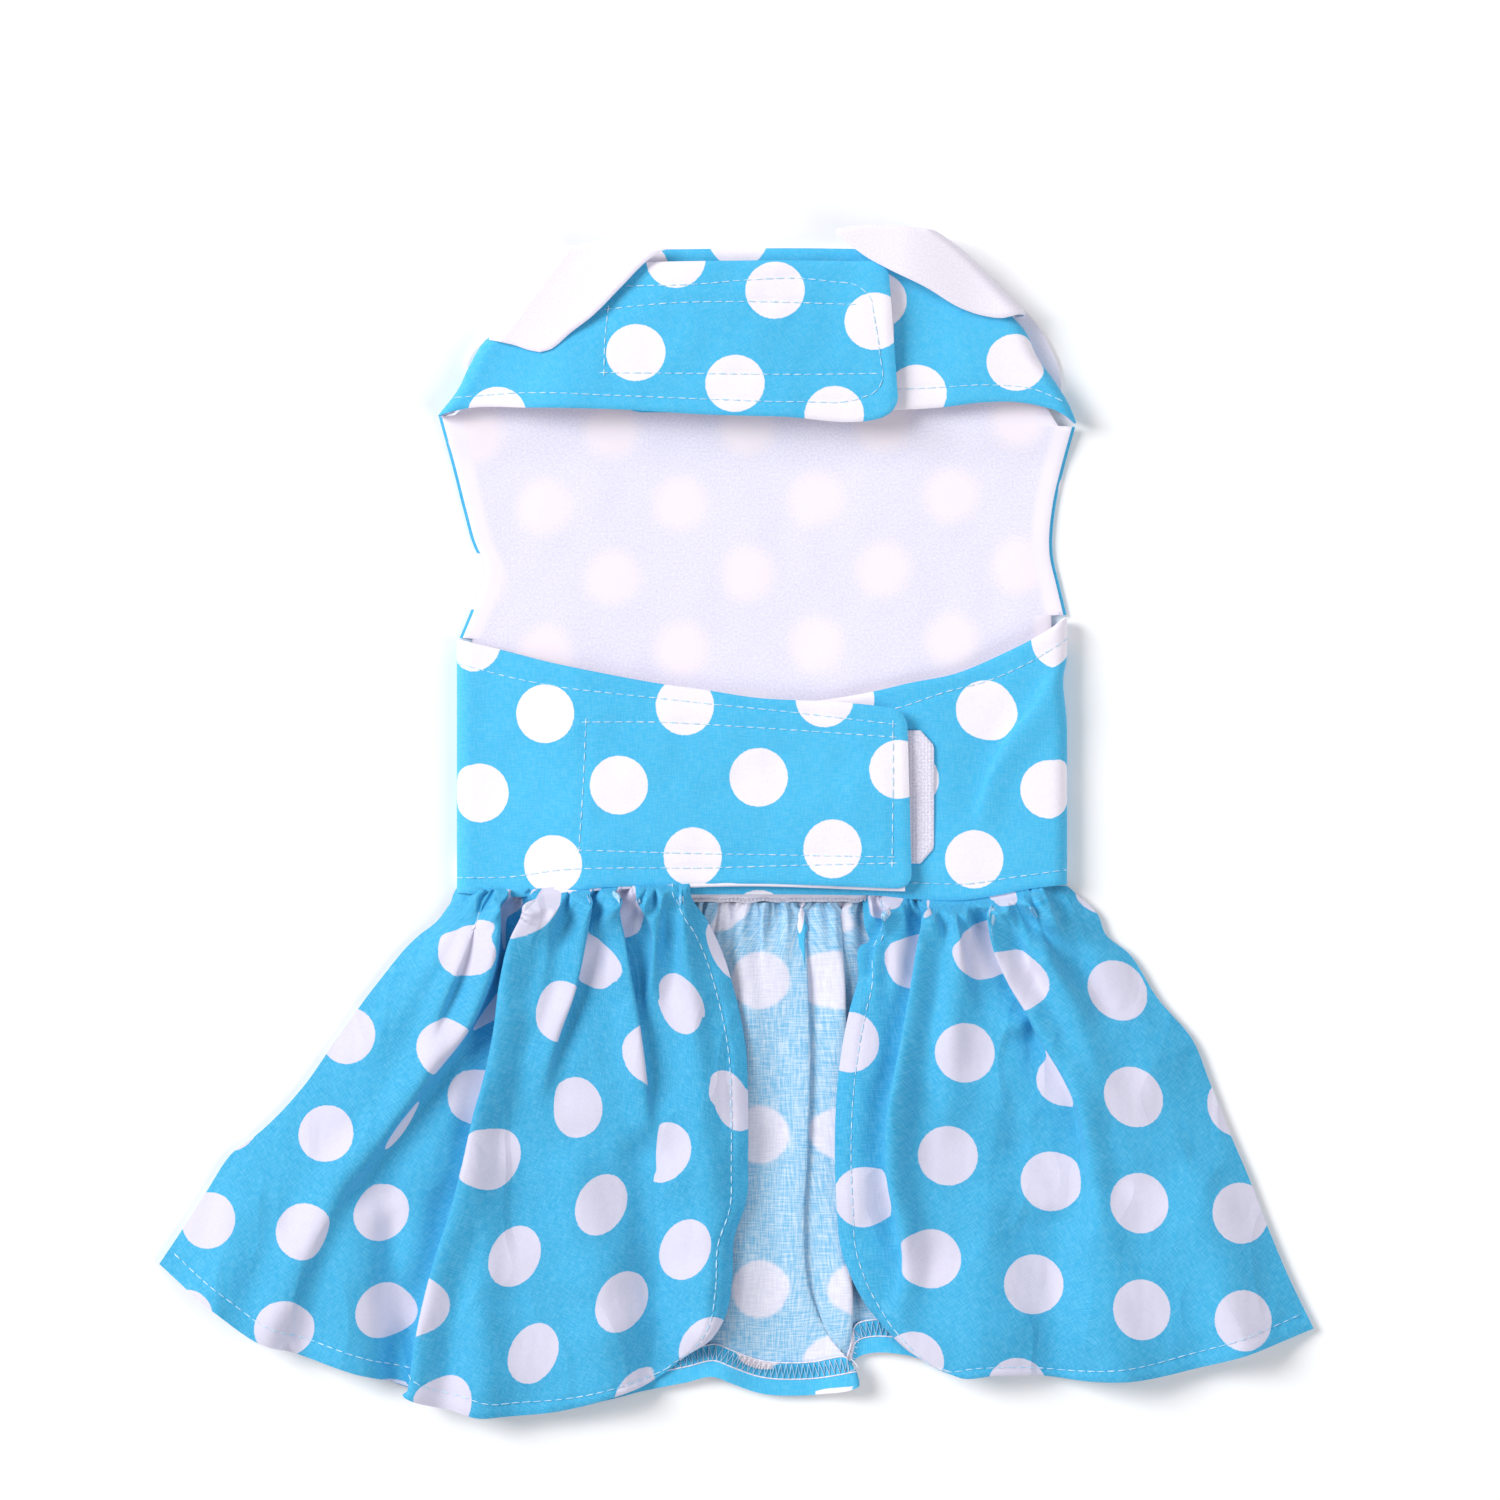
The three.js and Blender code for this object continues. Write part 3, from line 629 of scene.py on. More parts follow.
bellyRight = {
    "top": [(101.0, 90.1), (91.7, 84.2), (78.5, 77.5), (65.3, 71.9), (47.2, 68.0), (38.9, 66.0),
        (14.2, 62.0), (-20.5, 60.4), (-50.2, 59.7)],
    "bottom": [(101.0, 1.7), (88.4, 0.3), (78.5, -1.7), (67.7, -3.3), (48.8, -3.0), (38.9, -2.0),
        (25.7, -1.7), (-50.2, -1.7)],
    "foldX": lambda y: 101.0 + 0 * y,
    "endTop": (-48.2, 59.7),
    "endBottom": (-48.2, -3.0),
    "corner": 5.0,
    "rows": 56,
    "columns": 100,
    "weave": {"dot": (95.0, 33.2), "row": (46.2, -3.3), "drop": (-3.6, -49.5)},
    "stitches": [
        [(100.3, 82.5), (88.4, 75.2), (75.2, 69.3), (60.4, 65.3), (44.6, 60.1), (12.5, 57.4),
            (-40.3, 55.4)],
        [(100.3, 6.6), (83.8, 4.3), (67.3, 2.0), (51.5, 2.3), (12.5, 3.3), (-40.3, 4.0)],
    ],
    "folds": [
        lapped([(95.7, 75.9), (92.1, 65.7), (78.2, 45.9), (71.9, 29.7), (70.0, 16.5)], (5, 4), (1.6, 2.2),
            (1.6, 1.4), over=-1, fadeIn=True),
    ],
}
neckStrapLeft = {
    "bottom": [(-107.2, 156.8), (-96.7, 159.1), (-77.2, 159.1), (-45.5, 158.4), (-18.8, 156.8),
        (5.9, 156.1), (38.3, 155.4), (47.2, 158.4)],
    "top": [(-86.5, 206.9), (-53.5, 207.2), (-36.0, 207.2), (5.9, 207.6), (42.2, 207.2)],
    "foldX": lambda y: readTable(neckLeft, y),
    "endTop": (41.6, 207.2),
    "endBottom": (45.2, 157.7),
    "corner": 5.5,
    "rows": 50,
    "columns": 90,
    "weave": {"dot": (-8.9, 167.0), "row": (19.5, -40.9), "drop": (-45.9, -20.5)},
    "stitches": [
        [(-100.3, 162.7), (-79.9, 164.0), (-46.9, 163.0), (-13.9, 161.7), (12.5, 161.0), (31.7, 162.0),
            (37.6, 164.7), (39.3, 167.3), (38.9, 176.2), (37.0, 188.4), (35.3, 195.7), (31.7, 199.0),
            (22.8, 200.6), (13.2, 201.6), (-5.9, 201.0), (-22.1, 199.7), (-43.6, 199.3)],
        [(-50.8, 191.7), (-32.3, 193.4), (-5.9, 194.0), (29.7, 193.1)],
        [(-50.8, 191.7), (-51.8, 181.5), (-52.1, 170.6)],
        [(-52.1, 170.6), (-20.5, 170.3), (12.5, 170.0), (36.6, 170.3)],
    ],
}
neckStrapRight = {
    "bottom": [(104.0, 152.8), (98.3, 157.7), (93.4, 159.4), (84.8, 161.0), (73.3, 161.0), (59.7, 159.4),
        (44.2, 158.4), (-0.7, 157.7), (-50.2, 157.7)],
    "top": [(78.5, 211.2), (47.2, 211.5), (5.9, 211.9), (-30.0, 211.5), (-53.5, 211.2)],
    "foldX": lambda y: readTable(neckRight, y),
    "endTop": (-46.2, 211.2),
    "endBottom": (-46.2, 157.7),
    "corner": 6.0,
    "rows": 50,
    "columns": 90,
    "weave": {"dot": (51.2, 164.0), "row": (-19.5, -40.9), "drop": (45.9, -20.5)},
    "stitches": [[(98.0, 162.0), (90.8, 165.0), (75.2, 166.7), (59.7, 166.0), (38.9, 165.0),
        (-40.3, 165.0)]],
}


def strapHeight(lift, reach, high):
    # the upper strap climbs onto the lower one within that reach of its fold
    top = level["highStrap"] if high else level["lowStrap"]
    return lambda x, inward: lift + mix(level["lowStrap"], top, smooth(inward / reach))


straps = {}
for name, spec, side, lift, reach, node, seed in (
    ("bellyStrapRight", bellyRight, 1, 0.0, 42, "belly_strap_right", 21),
    ("bellyStrapLeft", bellyLeft, -1, 0.0, 42, "belly_strap_left", 22),
    ("neckStrapRight", neckStrapRight, 1, level["neckLift"], 40, "neck_strap_right", 23),
    ("neckStrapLeft", neckStrapLeft, -1, level["neckLift"], 40, "neck_strap_left", 24),
):
    patch, edges = strapPatch(spec, side)
    height = strapHeight(lift, reach, side < 0)
    piece = turnedSheet(name, side, patch, edges, lift, height, cloth["ply"], spec["weave"],
                        [printed, lining], spec.get("folds", ()), spec["stitches"], seed)
    wide = abs(patch[0, 0, 0] - patch[-1, 0, 0]) + cloth["turnWidth"]
    tall = patch[0, -1, 1] - patch[0, 0, 1]
    finished(piece, [node])
    straps[name] = piece
edging = {"from": -66.7, "to": 47.2, "drop": 0.9, "depth": 3.0, "height": 12.5}
run = np.linspace(edging["from"], edging["to"], 160)
depth = np.array([0, 0.15, 0.4, 0.8, 1.0, 3.0]) / edging["depth"]
x = np.broadcast_to(run[:, None], (len(run), len(depth)))
y = readTable(bellyLeft["bottom"], x) - edging["drop"] + edging["depth"] * depth[None]
z = edging["height"] - rolled(depth[None] * edging["depth"], 0.6, 0.5) + 0 * x
flat = np.stack([x, y], axis=-1)
edgePiece = clothSheet("strapLiningEdge", np.stack([x, y, z], axis=-1), flat, 0.6, [collarWhite])
finished(edgePiece)
print("straps made")

collarTips = {
    "left": {
        "start": [(-90.8, 180.7), (-67.3, 212.6)],
        "end": [(-73.3, 177.4), (-69.6, 178.4), (-66.7, 180.5), (-64.0, 183.0), (-56.1, 189.1),
            (-46.2, 199.0), (-38.0, 207.2), (-34.3, 209.9), (-31.0, 211.4)],
        "low": [(-90.8, 180.7), (-81.5, 179.7), (-77.2, 178.2), (-73.3, 177.4)],
        "high": [(-67.3, 212.6), (-56.0, 213.6), (-42.2, 212.5), (-31.0, 211.4)],
    },
    "right": {
        "start": [(87.5, 189.4), (64.7, 212.5), (57.8, 218.1)],
        "end": [(29.7, 211.9), (26.4, 214.5), (24.4, 216.5), (25.1, 218.1)],
        "low": [(87.5, 189.4), (79.9, 188.8), (73.3, 189.4), (66.0, 191.7), (53.8, 198.7), (41.6, 204.6),
            (34.3, 208.6), (29.7, 211.9)],
        "high": [(57.8, 218.1), (42.9, 219.1), (33.0, 219.1), (25.1, 218.1)],
    },
}
collar = {
    "lift": 2.3,
    "leftReach": 40,
    "rightFrom": 45.3,
    "rightReach": 32,
    "roundFold": 13,  # width of the cloth that goes round the fold
}


def collarHeight(side):
    # it lies over the straps: on the upper one to the left, and up onto it from the right
    def over(x, inward):
        onRight = smooth(1 - (x - collar["rightFrom"]) / collar["rightReach"])
        rise = smooth(inward / collar["leftReach"]) if side < 0 else onRight
        return level["neckLift"] + mix(level["lowStrap"], level["highStrap"], rise) + collar["lift"]
    return over


for side, name, spec, node in ((-1, "collarTipLeft", collarTips["left"], "collar_tip_left"),
                               (1, "collarTipRight", collarTips["right"], "collar_tip_right")):
    turn = np.array([side * level["turn"], 0])
    start = [tuple(np.array(p) - turn) for p in spec["start"]]
    low = [start[0]] + spec["low"][1:]
    high = [start[-1]] + spec["high"][1:]
    u = np.linspace(0, 1, 72)
    t = bordered(42, 0.03)
    patch = coonsPatch(start, spec["end"], low, high, u, t)
    edges = np.full(patch.shape[:2], 99.0)
    for line in (spec["end"], low, high):
        away, _, _ = besideCurve(patch[..., 0], patch[..., 1], line, 5)
        edges = np.minimum(edges, np.abs(away))
    flatWeave = {"dot": (0, 0), "row": (cloth["dotRow"], 0), "drop": (0, -cloth["dotDrop"])}
    piece = turnedSheet(name, side, patch, edges, 0.0, collarHeight(side), cloth["collarPly"], flatWeave,
                        [collarWhite], (), (), 31 + side, 0.15)
    outline = low + spec["end"][1:] + high[:-1][::-1] + start[1:-1][::-1]
    size = (np.ptp(patch[..., 0]) + cloth["turnWidth"], np.ptp(patch[..., 1]))
    finished(piece, [node])

leftFront = {
    "side": [(-101.3, 0.3), (-106.3, -9.2), (-113.5, -14.9), (-127.7, -31.4), (-140.9, -49.5),
        (-152.5, -66.0), (-169.0, -82.5), (-174.6, -86.5), (-183.8, -99.7), (-192.4, -113.2),
        (-199.7, -124.1)],
    "front": [(-23.8, 4.6), (-23.1, -2.3), (-18.2, -9.9), (-13.2, -20.5), (-8.6, -35.6), (-5.3, -52.8),
        (-4.6, -69.3), (-4.6, -89.1), (-5.0, -102.3), (-9.2, -115.5), (-9.9, -129.0), (-12.2, -141.2),
        (-16.8, -148.5), (-25.1, -154.4), (-31.0, -159.1)],
    "waist": [(-101.3, 0.3), (-79.9, 0.0), (-53.5, 3.0), (-40.3, 4.3), (-23.8, 4.6)],
    "hem": [(-199.7, -124.1), (-189.1, -133.3), (-181.2, -139.3), (-166.0, -149.8), (-156.1, -152.8),
        (-135.0, -159.7), (-119.8, -164.3), (-112.2, -169.6), (-103.6, -171.9), (-93.1, -174.6),
        (-86.5, -174.2), (-66.7, -172.3), (-50.2, -168.0), (-37.0, -163.0), (-31.0, -159.1)],
    "waistLevel": 11.4,
    "columns": 260,
    "rows": 170,
    "node": "skirt_front_left",
    "seed": 51,
    "weaves": [  # the grain turns across the two deepest folds
        {"dot": (-83.2, -121.1), "row": (36.0, -14.9), "drop": (-20.1, -49.2)},
        {"dot": (-125.4, -106.9), "row": (30.7, -25.4), "drop": (-30.7, -38.6), "steps": (-1.5, -0.5),
         "rightOf": 0},
        {"dot": (-151.5, -112.5), "row": (24.4, -35.0), "drop": (-38.9, -29.0), "steps": (-2, -1),
         "rightOf": 3},
    ],
    "folds": [
        lapped([(-74.6, -1.7), (-76.2, -9.2), (-79.9, -15.8), (-83.8, -30.4), (-86.5, -47.5),
            (-90.1, -63.4), (-93.7, -75.6), (-97.4, -91.4), (-101.6, -106.3), (-107.2, -123.1),
            (-112.9, -145.2), (-116.2, -165.0)], (3.4, 5), (6, 4), (4.6, 4.2), fadeOut=False,
            hides=((-7, 0), (1, 0))),
        lapped([(-56.4, 0.7), (-56.4, -4.6), (-57.8, -15.2), (-62.0, -34.0), (-67.3, -49.8), (-70.0, -63.4),
            (-70.6, -79.2)], (2.4, 4), (3.4, 1), (3.4, 1.8), over=1, fade=0.4, hides=((16, 0), (0.5, 0))),
        lapped([(-48.2, 1.3), (-47.2, -12.9), (-44.6, -26.4), (-41.2, -42.9), (-38.2, -61.1),
            (-36.2, -77.5), (-36.0, -92.4)], (2.6, 4.5), (4.5, 1.5), (3.8, 2.2), over=1, fade=0.4,
            hides=((7, 0), (8, 0))),
        lapped([(-85.5, -1.3), (-86.8, -13.2), (-89.1, -28.1), (-95.0, -43.6), (-106.3, -59.4),
            (-117.8, -74.9), (-128.7, -89.8), (-138.3, -102.6), (-146.5, -119.5), (-152.8, -136.6),
            (-157.7, -150.2)], (3.2, 8), (3, 0.6), (4.2, 3.6), over=1, fadeOut=False),
        lapped([(-92.1, -2.0), (-95.0, -12.9), (-100.3, -28.1), (-104.3, -38.0), (-109.6, -54.8),
            (-121.1, -75.9)], (2.2, 5), (2.0, 0.5), (3.2, 1.6), over=1, fade=0.5),
        ridge([(-99.0, -2.6), (-106.3, -18.2), (-119.5, -36.3), (-136.0, -61.1)], (3, 8), (2.4, 1.5),
            fade=0.4),
        lapped([(-41.6, -1.7), (-37.0, -12.9), (-37.0, -23.1), (-38.0, -38.6), (-36.3, -49.5)], (2.2, 3.4),
            (1.6, 0.6), (2.6, 1.4), fade=0.4),
        ridge([(-31.0, 0.7), (-25.7, -16.5), (-21.8, -49.5), (-18.5, -85.8), (-16.5, -115.5),
            (-18.8, -145.2)], (4, 8), (2.4, 2.8), fadeOut=False),
        ridge([(-80.2, -3.3), (-84.5, -19.8), (-89.8, -36.3), (-96.4, -56.1)], (2.4, 4.5), (-3.4, -2.2),
            fade=0.5),
        ridge([(-66.7, -0.7), (-70.6, -23.1), (-76.6, -46.2), (-79.9, -69.3)], (3.4, 6), (2.6, 1.6),
            fade=0.5),
        ridge([(-61.7, -79.2), (-60.1, -102.3), (-53.5, -132.0), (-50.2, -165.0)], (8, 12), (2.0, 3.6),
            fadeIn=True, fadeOut=False),
        ridge([(-86.5, -79.2), (-90.4, -105.6), (-93.1, -135.3), (-92.4, -171.6)], (5, 9), (1.6, 3.2),
            fadeIn=True, fadeOut=False),
        ridge([(-40.3, -75.9), (-37.6, -102.3), (-35.3, -132.0), (-33.7, -158.4)], (6, 8), (-2.2, -3.2),
            fadeIn=True, fadeOut=False),
        ridge([(-132.7, -99.0), (-137.6, -125.4), (-137.6, -158.4)], (9, 12), (2.0, 3.6), fadeIn=True,
            fadeOut=False),
        ridge([(-122.8, -92.4), (-122.1, -115.5), (-120.8, -163.3)], (5, 6), (-1.5, -2.8), fadeIn=True,
            fadeOut=False),
        ridge([(-169.0, -95.7), (-177.2, -115.5), (-180.5, -138.6)], (8, 10), (2.0, 3.0), fadeIn=True,
            fadeOut=False),
    ],
}
rightFront = {
    "side": [(101.0, 1.3), (104.9, -2.0), (111.2, -8.2), (113.9, -14.9), (121.1, -20.8), (131.0, -36.0),
        (143.2, -50.8), (147.8, -62.4), (155.1, -80.9), (161.4, -95.7), (166.7, -109.6), (174.2, -127.7),
        (182.8, -145.5)],
    "front": [(33.3, -2.3), (33.7, -10.9), (34.3, -17.5), (33.0, -18.2), (31.7, -29.7), (29.0, -39.6),
        (26.4, -52.8), (24.4, -72.6), (24.1, -89.1), (24.8, -105.6), (26.1, -118.8), (29.0, -127.1),
        (33.7, -136.3), (40.9, -145.5), (52.5, -155.1), (59.1, -157.1)],
    "waist": [(101.0, 1.7), (88.4, 1.0), (78.5, -0.7), (67.7, -2.3), (48.8, -2.0), (38.9, -1.3),
        (33.3, -2.3)],
    "hem": [(182.8, -145.5), (174.2, -148.8), (166.0, -151.8), (144.5, -158.1), (125.7, -162.0),
        (106.3, -162.4), (91.7, -160.7), (77.2, -160.4), (64.7, -161.0), (59.1, -157.1)],
    "waistLevel": 7.4,
    "columns": 250,
    "rows": 165,
    "node": "skirt_front_right",
    "seed": 57,
    "weaves": [
        {"dot": (124.7, -103.3), "row": (33.0, 31.7), "drop": (34.3, -38.9), "drift": (9, 105)},
        {"dot": (61.4, -87.8), "row": (39.6, 25.4), "drop": (28.4, -42.6), "steps": (-1, 1), "rightOf": 14},
        {"dot": (33.3, -101.6), "row": (46.2, 4.0), "drop": (4.3, -51.2), "steps": (-2, 1), "rightOf": 0},
    ],
    "folds": [
        lapped([(55.4, -0.7), (54.1, -11.6), (51.8, -24.4), (46.5, -51.5), (41.9, -72.6), (40.9, -85.8),
            (41.9, -99.0), (44.6, -110.6), (46.2, -120.8), (44.2, -135.3), (38.9, -150.2)], (2.8, 4.5),
            (4.5, 1.8), (4.0, 3.2), fade=0.25),
        lapped([(74.6, 0.0), (77.9, -19.5), (82.5, -31.0), (88.1, -40.9), (93.4, -51.5), (99.0, -61.4),
            (103.0, -70.3), (106.3, -85.8), (108.9, -105.6), (110.9, -128.7)], (2.8, 5), (4.5, 0.4),
            (4.2, 1.8), fade=0.4, hides=((30, 1), (0, 0))),
        lapped([(42.2, -0.7), (42.2, -4.3), (37.3, -18.8), (36.3, -28.1), (35.0, -39.6)], (1.8, 2.4),
            (2.6, 1.0), (2.6, 1.2), fade=0.4),
        lapped([(85.8, -39.6), (87.8, -54.5), (89.4, -69.3), (90.4, -85.8)], (3.2, 4.5), (1.2, 0.2),
            (1.7, 0.9), over=1, fadeIn=True),
        ridge([(81.8, 0.3), (88.4, -4.0), (100.3, -12.5), (117.8, -19.8), (128.0, -31.4)], (3.4, 5),
            (3.6, 1.6)),
        ridge([(85.1, -5.0), (95.0, -16.5), (108.2, -31.4), (114.8, -49.5)], (3, 5), (-2.6, -1.4)),
        ridge([(93.4, -23.1), (106.6, -49.5), (114.8, -72.6), (121.4, -102.3)], (6, 9), (2.2, 1.8)),
        ridge([(65.3, -1.7), (63.7, -29.7), (61.4, -62.7), (62.0, -89.1)], (4, 8), (3.2, 2.0)),
        ridge([(83.8, -42.9), (85.8, -59.4), (85.1, -75.9), (82.5, -95.7)], (4, 6), (-3.0, -1.6),
            fadeIn=True),
        ridge([(48.8, -56.1), (46.2, -79.2), (47.2, -102.3), (53.8, -125.4)], (5, 8), (2.4, 1.6),
            fadeIn=True),
        ridge([(73.6, -95.7), (73.6, -128.7), (75.2, -160.4)], (9, 12), (1.4, 3.4), fadeIn=True,
            fadeOut=False),
        ridge([(95.0, -102.3), (96.7, -132.0), (98.3, -161.0)], (7, 9), (-1.2, -2.4), fadeIn=True,
            fadeOut=False),
        ridge([(114.8, -95.7), (118.1, -128.7), (119.8, -162.0)], (9, 13), (1.6, 3.6), fadeIn=True,
            fadeOut=False),
        ridge([(142.9, -85.8), (152.8, -118.8), (159.4, -153.5)], (8, 10), (1.6, 3.0), fadeIn=True,
            fadeOut=False),
        ridge([(91.7, -0.7), (97.7, -19.8), (103.0, -36.3), (107.2, -56.1), (108.9, -79.2), (108.2, -118.8),
            (106.6, -148.5)], (5, 8), (1.0, 1.4), fadeOut=False),
    ],
}
gathers = {
    "fine": {"pitch": 2.2, "width": (0.7, 1.2), "rise": 1.9, "lap": 0.25, "reach": (9, 24), "hides": 0.9},
    "broad": {"pitch": 6.5, "width": (1.5, 4.5), "rise": 2.0, "lap": 1.1, "reach": (20, 62), "hides": 0},
}


def waistGathers(waist, hem, seed, share=1.0, hiding=1.0):
    # small pleats that fan out from the waist seam, each of its own length
    source = np.random.RandomState(seed)
    length = np.linalg.norm(np.diff(np.asarray(waist), axis=0), axis=1).sum()
    made = []
    for family in gathers.values():
        place = source.uniform(0.8, 2.0)
        while place < length - 1:
            top = curveAt(waist, [place / length])[0]
            foot = curveAt(hem, [place / length])[0]
            run = (foot - top) / np.linalg.norm(foot - top)
            reach = source.uniform(*family["reach"])
            drift = np.array([-run[1], run[0]]) * source.uniform(-0.15, 0.15) * reach
            size = source.uniform(0.55, 1.3) * share
            made.append({
                "path": [tuple(top - run * 1.5), tuple(top + run * reach + drift)],
                "width": family["width"],
                "lap": (family["lap"] * size, 0.1),
                "rise": (family["rise"] * size, family["rise"] * 0.2),
                "hides": ((family["hides"] * size * hiding, 0), (0, 0)),
                "over": 1 if source.rand() < 0.5 else -1,
                "fade": 0.65,
            })
            place += family["pitch"] * source.uniform(0.6, 1.4)
    return made


def skirtGrid(start, end, waist, hem, columns, rows):
    # columns from one side edge to the other, and rows that are closer at the waist, for the gathers
    u, v = np.linspace(0, 1, columns), np.linspace(0, 1, rows)
    v = 0.7 * v + 0.3 * v**2
    place = coonsPatch(start, end, waist, hem, u, v)
    reach = np.linalg.norm(place[-1] - place[0], axis=-1)
    drop = np.linalg.norm(place[:, -1] - place[:, 0], axis=-1)[:, None] * v[None]
    return u, v, place[..., 0], place[..., 1], reach, drop, drop[:, -1:] - drop


fall = {  # the front skirt's heights, and how far from an edge each is reached
    "puff": 1.6,  # above the waist
    "height": 9.0,
    "heightReach": 45,
    "waistReach": 4.5,
    "hemSink": 1.2,
    "hemReach": 30,
    "foldRelief": 1.4,
    "sideHeight": 2.4,
    "sideReach": 26,
    "leastHeight": 4.6,
    "leastReach": 12,
}


def skirtFront(name, spec, facing):
    outline = [spec[key] for key in ("side", "front", "waist", "hem")]
    u, _, x, y, reach, drop, hemGap = skirtGrid(*outline, spec["columns"], spec["rows"])
    sideGap = u[:, None] * reach[None]
    frontGap = (1 - u)[:, None] * reach[None]
    base = mix(spec["waistLevel"] + fall["puff"], fall["height"], smooth(drop / fall["heightReach"]))
    base = mix(spec["waistLevel"], base, smooth(drop / fall["waistReach"]))
    base = base - fall["hemSink"] * smooth(1 - hemGap / fall["hemReach"])
    base = base + 0.8 * softNoise(x, y, 62, spec["seed"]) + 0.45 * softNoise(x, y, 21, spec["seed"] + 1)
    folds = spec["folds"] + waistGathers(spec["waist"], spec["hem"], spec["seed"] + 2)
    calm = smooth((drop - 2) / 5)
    x2, y2, z, flatX, flatY, sides = foldCloth(x, y, base, folds, fall["foldRelief"], calm)
    z = mix(fall["sideHeight"], z, np.sqrt(smooth(sideGap / fall["sideReach"])))
    z = z - rolled(frontGap, 7, 2.2) - rolled(hemGap, 2.5, 0.5)
    z = z - pullAlong(hemGap - cloth["stitchInset"]) - pullAlong(frontGap - cloth["stitchInset"])
    # pressed flat by the strap
    z = np.minimum(z, spec["waistLevel"] + 0.8 + 1.3 * np.maximum(drop - 2, 0))
    least = mix(fall["sideHeight"], fall["leastHeight"], smooth(sideGap / fall["leastReach"]))
    z = np.maximum(z, least - 0.8 * (drop < 3))
    step = np.array([cloth["dotRow"], cloth["dotDrop"]])
    # the gathers hide cloth towards their right-hand end, so the rest of it crowds to that end
    crowd = (x - max(p[0] for p in spec["waist"])) * 0.3 * (1 - smooth(drop / 20))
    flatX = flatX + crowd
    first = spec["weaves"][0]
    amount, fade = first.get("drift", (0, 1))
    own = x + crowd + amount * (1 - smooth(drop / fade))
    flat = fabricAt(own if amount else flatX, flatY, first)
    for weave in spec["weaves"][1:]:
        turned = fabricAt(flatX, flatY, weave) + step * weave["steps"]
        flat = mix(flat, turned, sides[weave["rightOf"]][..., None])
    over = np.stack([x2, y2, z], axis=-1)
    # the fronts take the print's copy with painted shade in its ground and dots
    piece = clothSheet(name, over, flat, cloth["ply"], [printedSkirtShaded, reverse], facing)
    finished(piece, [spec["node"]])
    return over, drop, reach, u


leftSkirt = skirtFront("skirtFrontLeft", leftFront, -1)
print("left front made")
rightSkirt = skirtFront("skirtFrontRight", rightFront, 1)
print("right front made")

back = {
    "left": [(-101.3, -4.0), (-106.3, -9.9), (-113.5, -15.8), (-127.7, -32.3), (-140.9, -50.2),
        (-152.5, -66.7), (-169.0, -83.2), (-174.6, -87.1), (-183.8, -100.3), (-192.4, -113.9),
        (-199.7, -124.1)],
    "right": [(101.3, -4.0), (104.9, -5.9), (110.9, -9.9), (113.9, -15.8), (120.8, -21.8), (130.7, -37.0),
        (142.9, -51.8), (147.5, -63.4), (154.8, -81.8), (161.0, -96.7), (166.3, -110.6), (173.9, -128.7),
        (182.2, -145.5)],
    "waist": [(-101.3, -4.0), (0.0, -4.3), (101.3, -4.0)],
    "hem": [(-199.7, -124.1), (-166.0, -148.8), (-135.0, -158.4), (-109.6, -167.0), (-79.9, -169.0),
        (-53.5, -169.6), (-40.3, -166.3), (-25.1, -163.3), (-15.5, -161.4), (-10.6, -163.3), (-1.3, -166.7),
        (12.2, -167.6), (20.1, -167.0), (29.0, -165.0), (35.0, -154.4), (47.2, -154.1), (62.0, -159.1),
        (91.7, -159.1), (123.8, -161.7), (151.1, -155.1), (182.2, -145.5)],
    "weave": {"dot": (-0.7, -81.2), "row": (46.2, -0.0), "drop": (0.0, -51.2)},
    "columns": 350,
    "rows": 110,
    "middle": 12,
    "height": (1.2, 1.9),  # at the waist, and lower down
    "highest": (6.0, 2.5),  # between the fronts, and under them
    "openHalf": 48,
    "folds": [
        ridge([(-3.3, -3.3), (-4.6, -23.1), (-4.0, -56.8), (-6.6, -89.1), (-8.9, -132.0), (-13.2, -163.3)],
            (4, 7), (1.8, 2.2), fadeOut=False),
        lapped([(12.5, -3.3), (14.5, -29.7), (15.2, -66.0), (14.5, -87.5), (13.5, -110.9), (15.2, -132.0),
            (21.1, -146.8), (30.7, -163.3)], (3.4, 4), (3.4, 3), (2.2, 0.9), over=1, fadeOut=False,
            hides=((24, 0), (12, 0))),
        lapped([(25.7, -3.3), (27.7, -36.3), (29.0, -85.8), (30.0, -133.7), (30.0, -165.7)], (4, 5),
            (2.5, 3), (2.2, 2.8), over=1, fadeOut=False, hides=((12, 0), (12, 0))),
        ridge([(-40.3, -3.3), (-53.5, -69.3), (-63.4, -168.3)], (9, 16), (1.4, 2.4), fadeOut=False),
        ridge([(-66.7, -3.3), (-96.4, -69.3), (-119.5, -161.7)], (8, 16), (1.2, 2.2), fadeOut=False),
        ridge([(55.4, -3.3), (71.9, -69.3), (81.8, -158.4)], (9, 16), (1.4, 2.4), fadeOut=False),
        ridge([(78.5, -3.3), (108.2, -69.3), (131.3, -158.4)], (8, 15), (1.2, 2.2), fadeOut=False),
    ],
}
outline = [back[key] for key in ("left", "right", "waist", "hem")]
u, v, x, y, reach, drop, _ = skirtGrid(*outline, back["columns"], back["rows"])
sideGap = np.minimum(u, 1 - u)[:, None] * reach[None]
base = mix(*back["height"], smooth(drop / 20)) + 0.35 * (1 + softNoise(x, y, 70, 71))
folds = back["folds"] + waistGathers(back["waist"], back["hem"], 73, 0.8, 0)
x2, y2, z, flatX, flatY, _ = foldCloth(x, y, base, folds, 1.0, smooth((drop - 0.5) / 4))
highest = mix(*back["highest"], smooth((np.abs(x - back["middle"]) - back["openHalf"]) / 12))
z = np.clip(mix(1.0, z, smooth(sideGap / 14)), 0.95, highest)
backOver = np.stack([x2, y2, z], axis=-1)
crowded = flatX + (x - back["middle"]) * 0.7 * (1 - smooth(drop / 22))
backFlat = fabricAt(crowded, flatY, back["weave"])
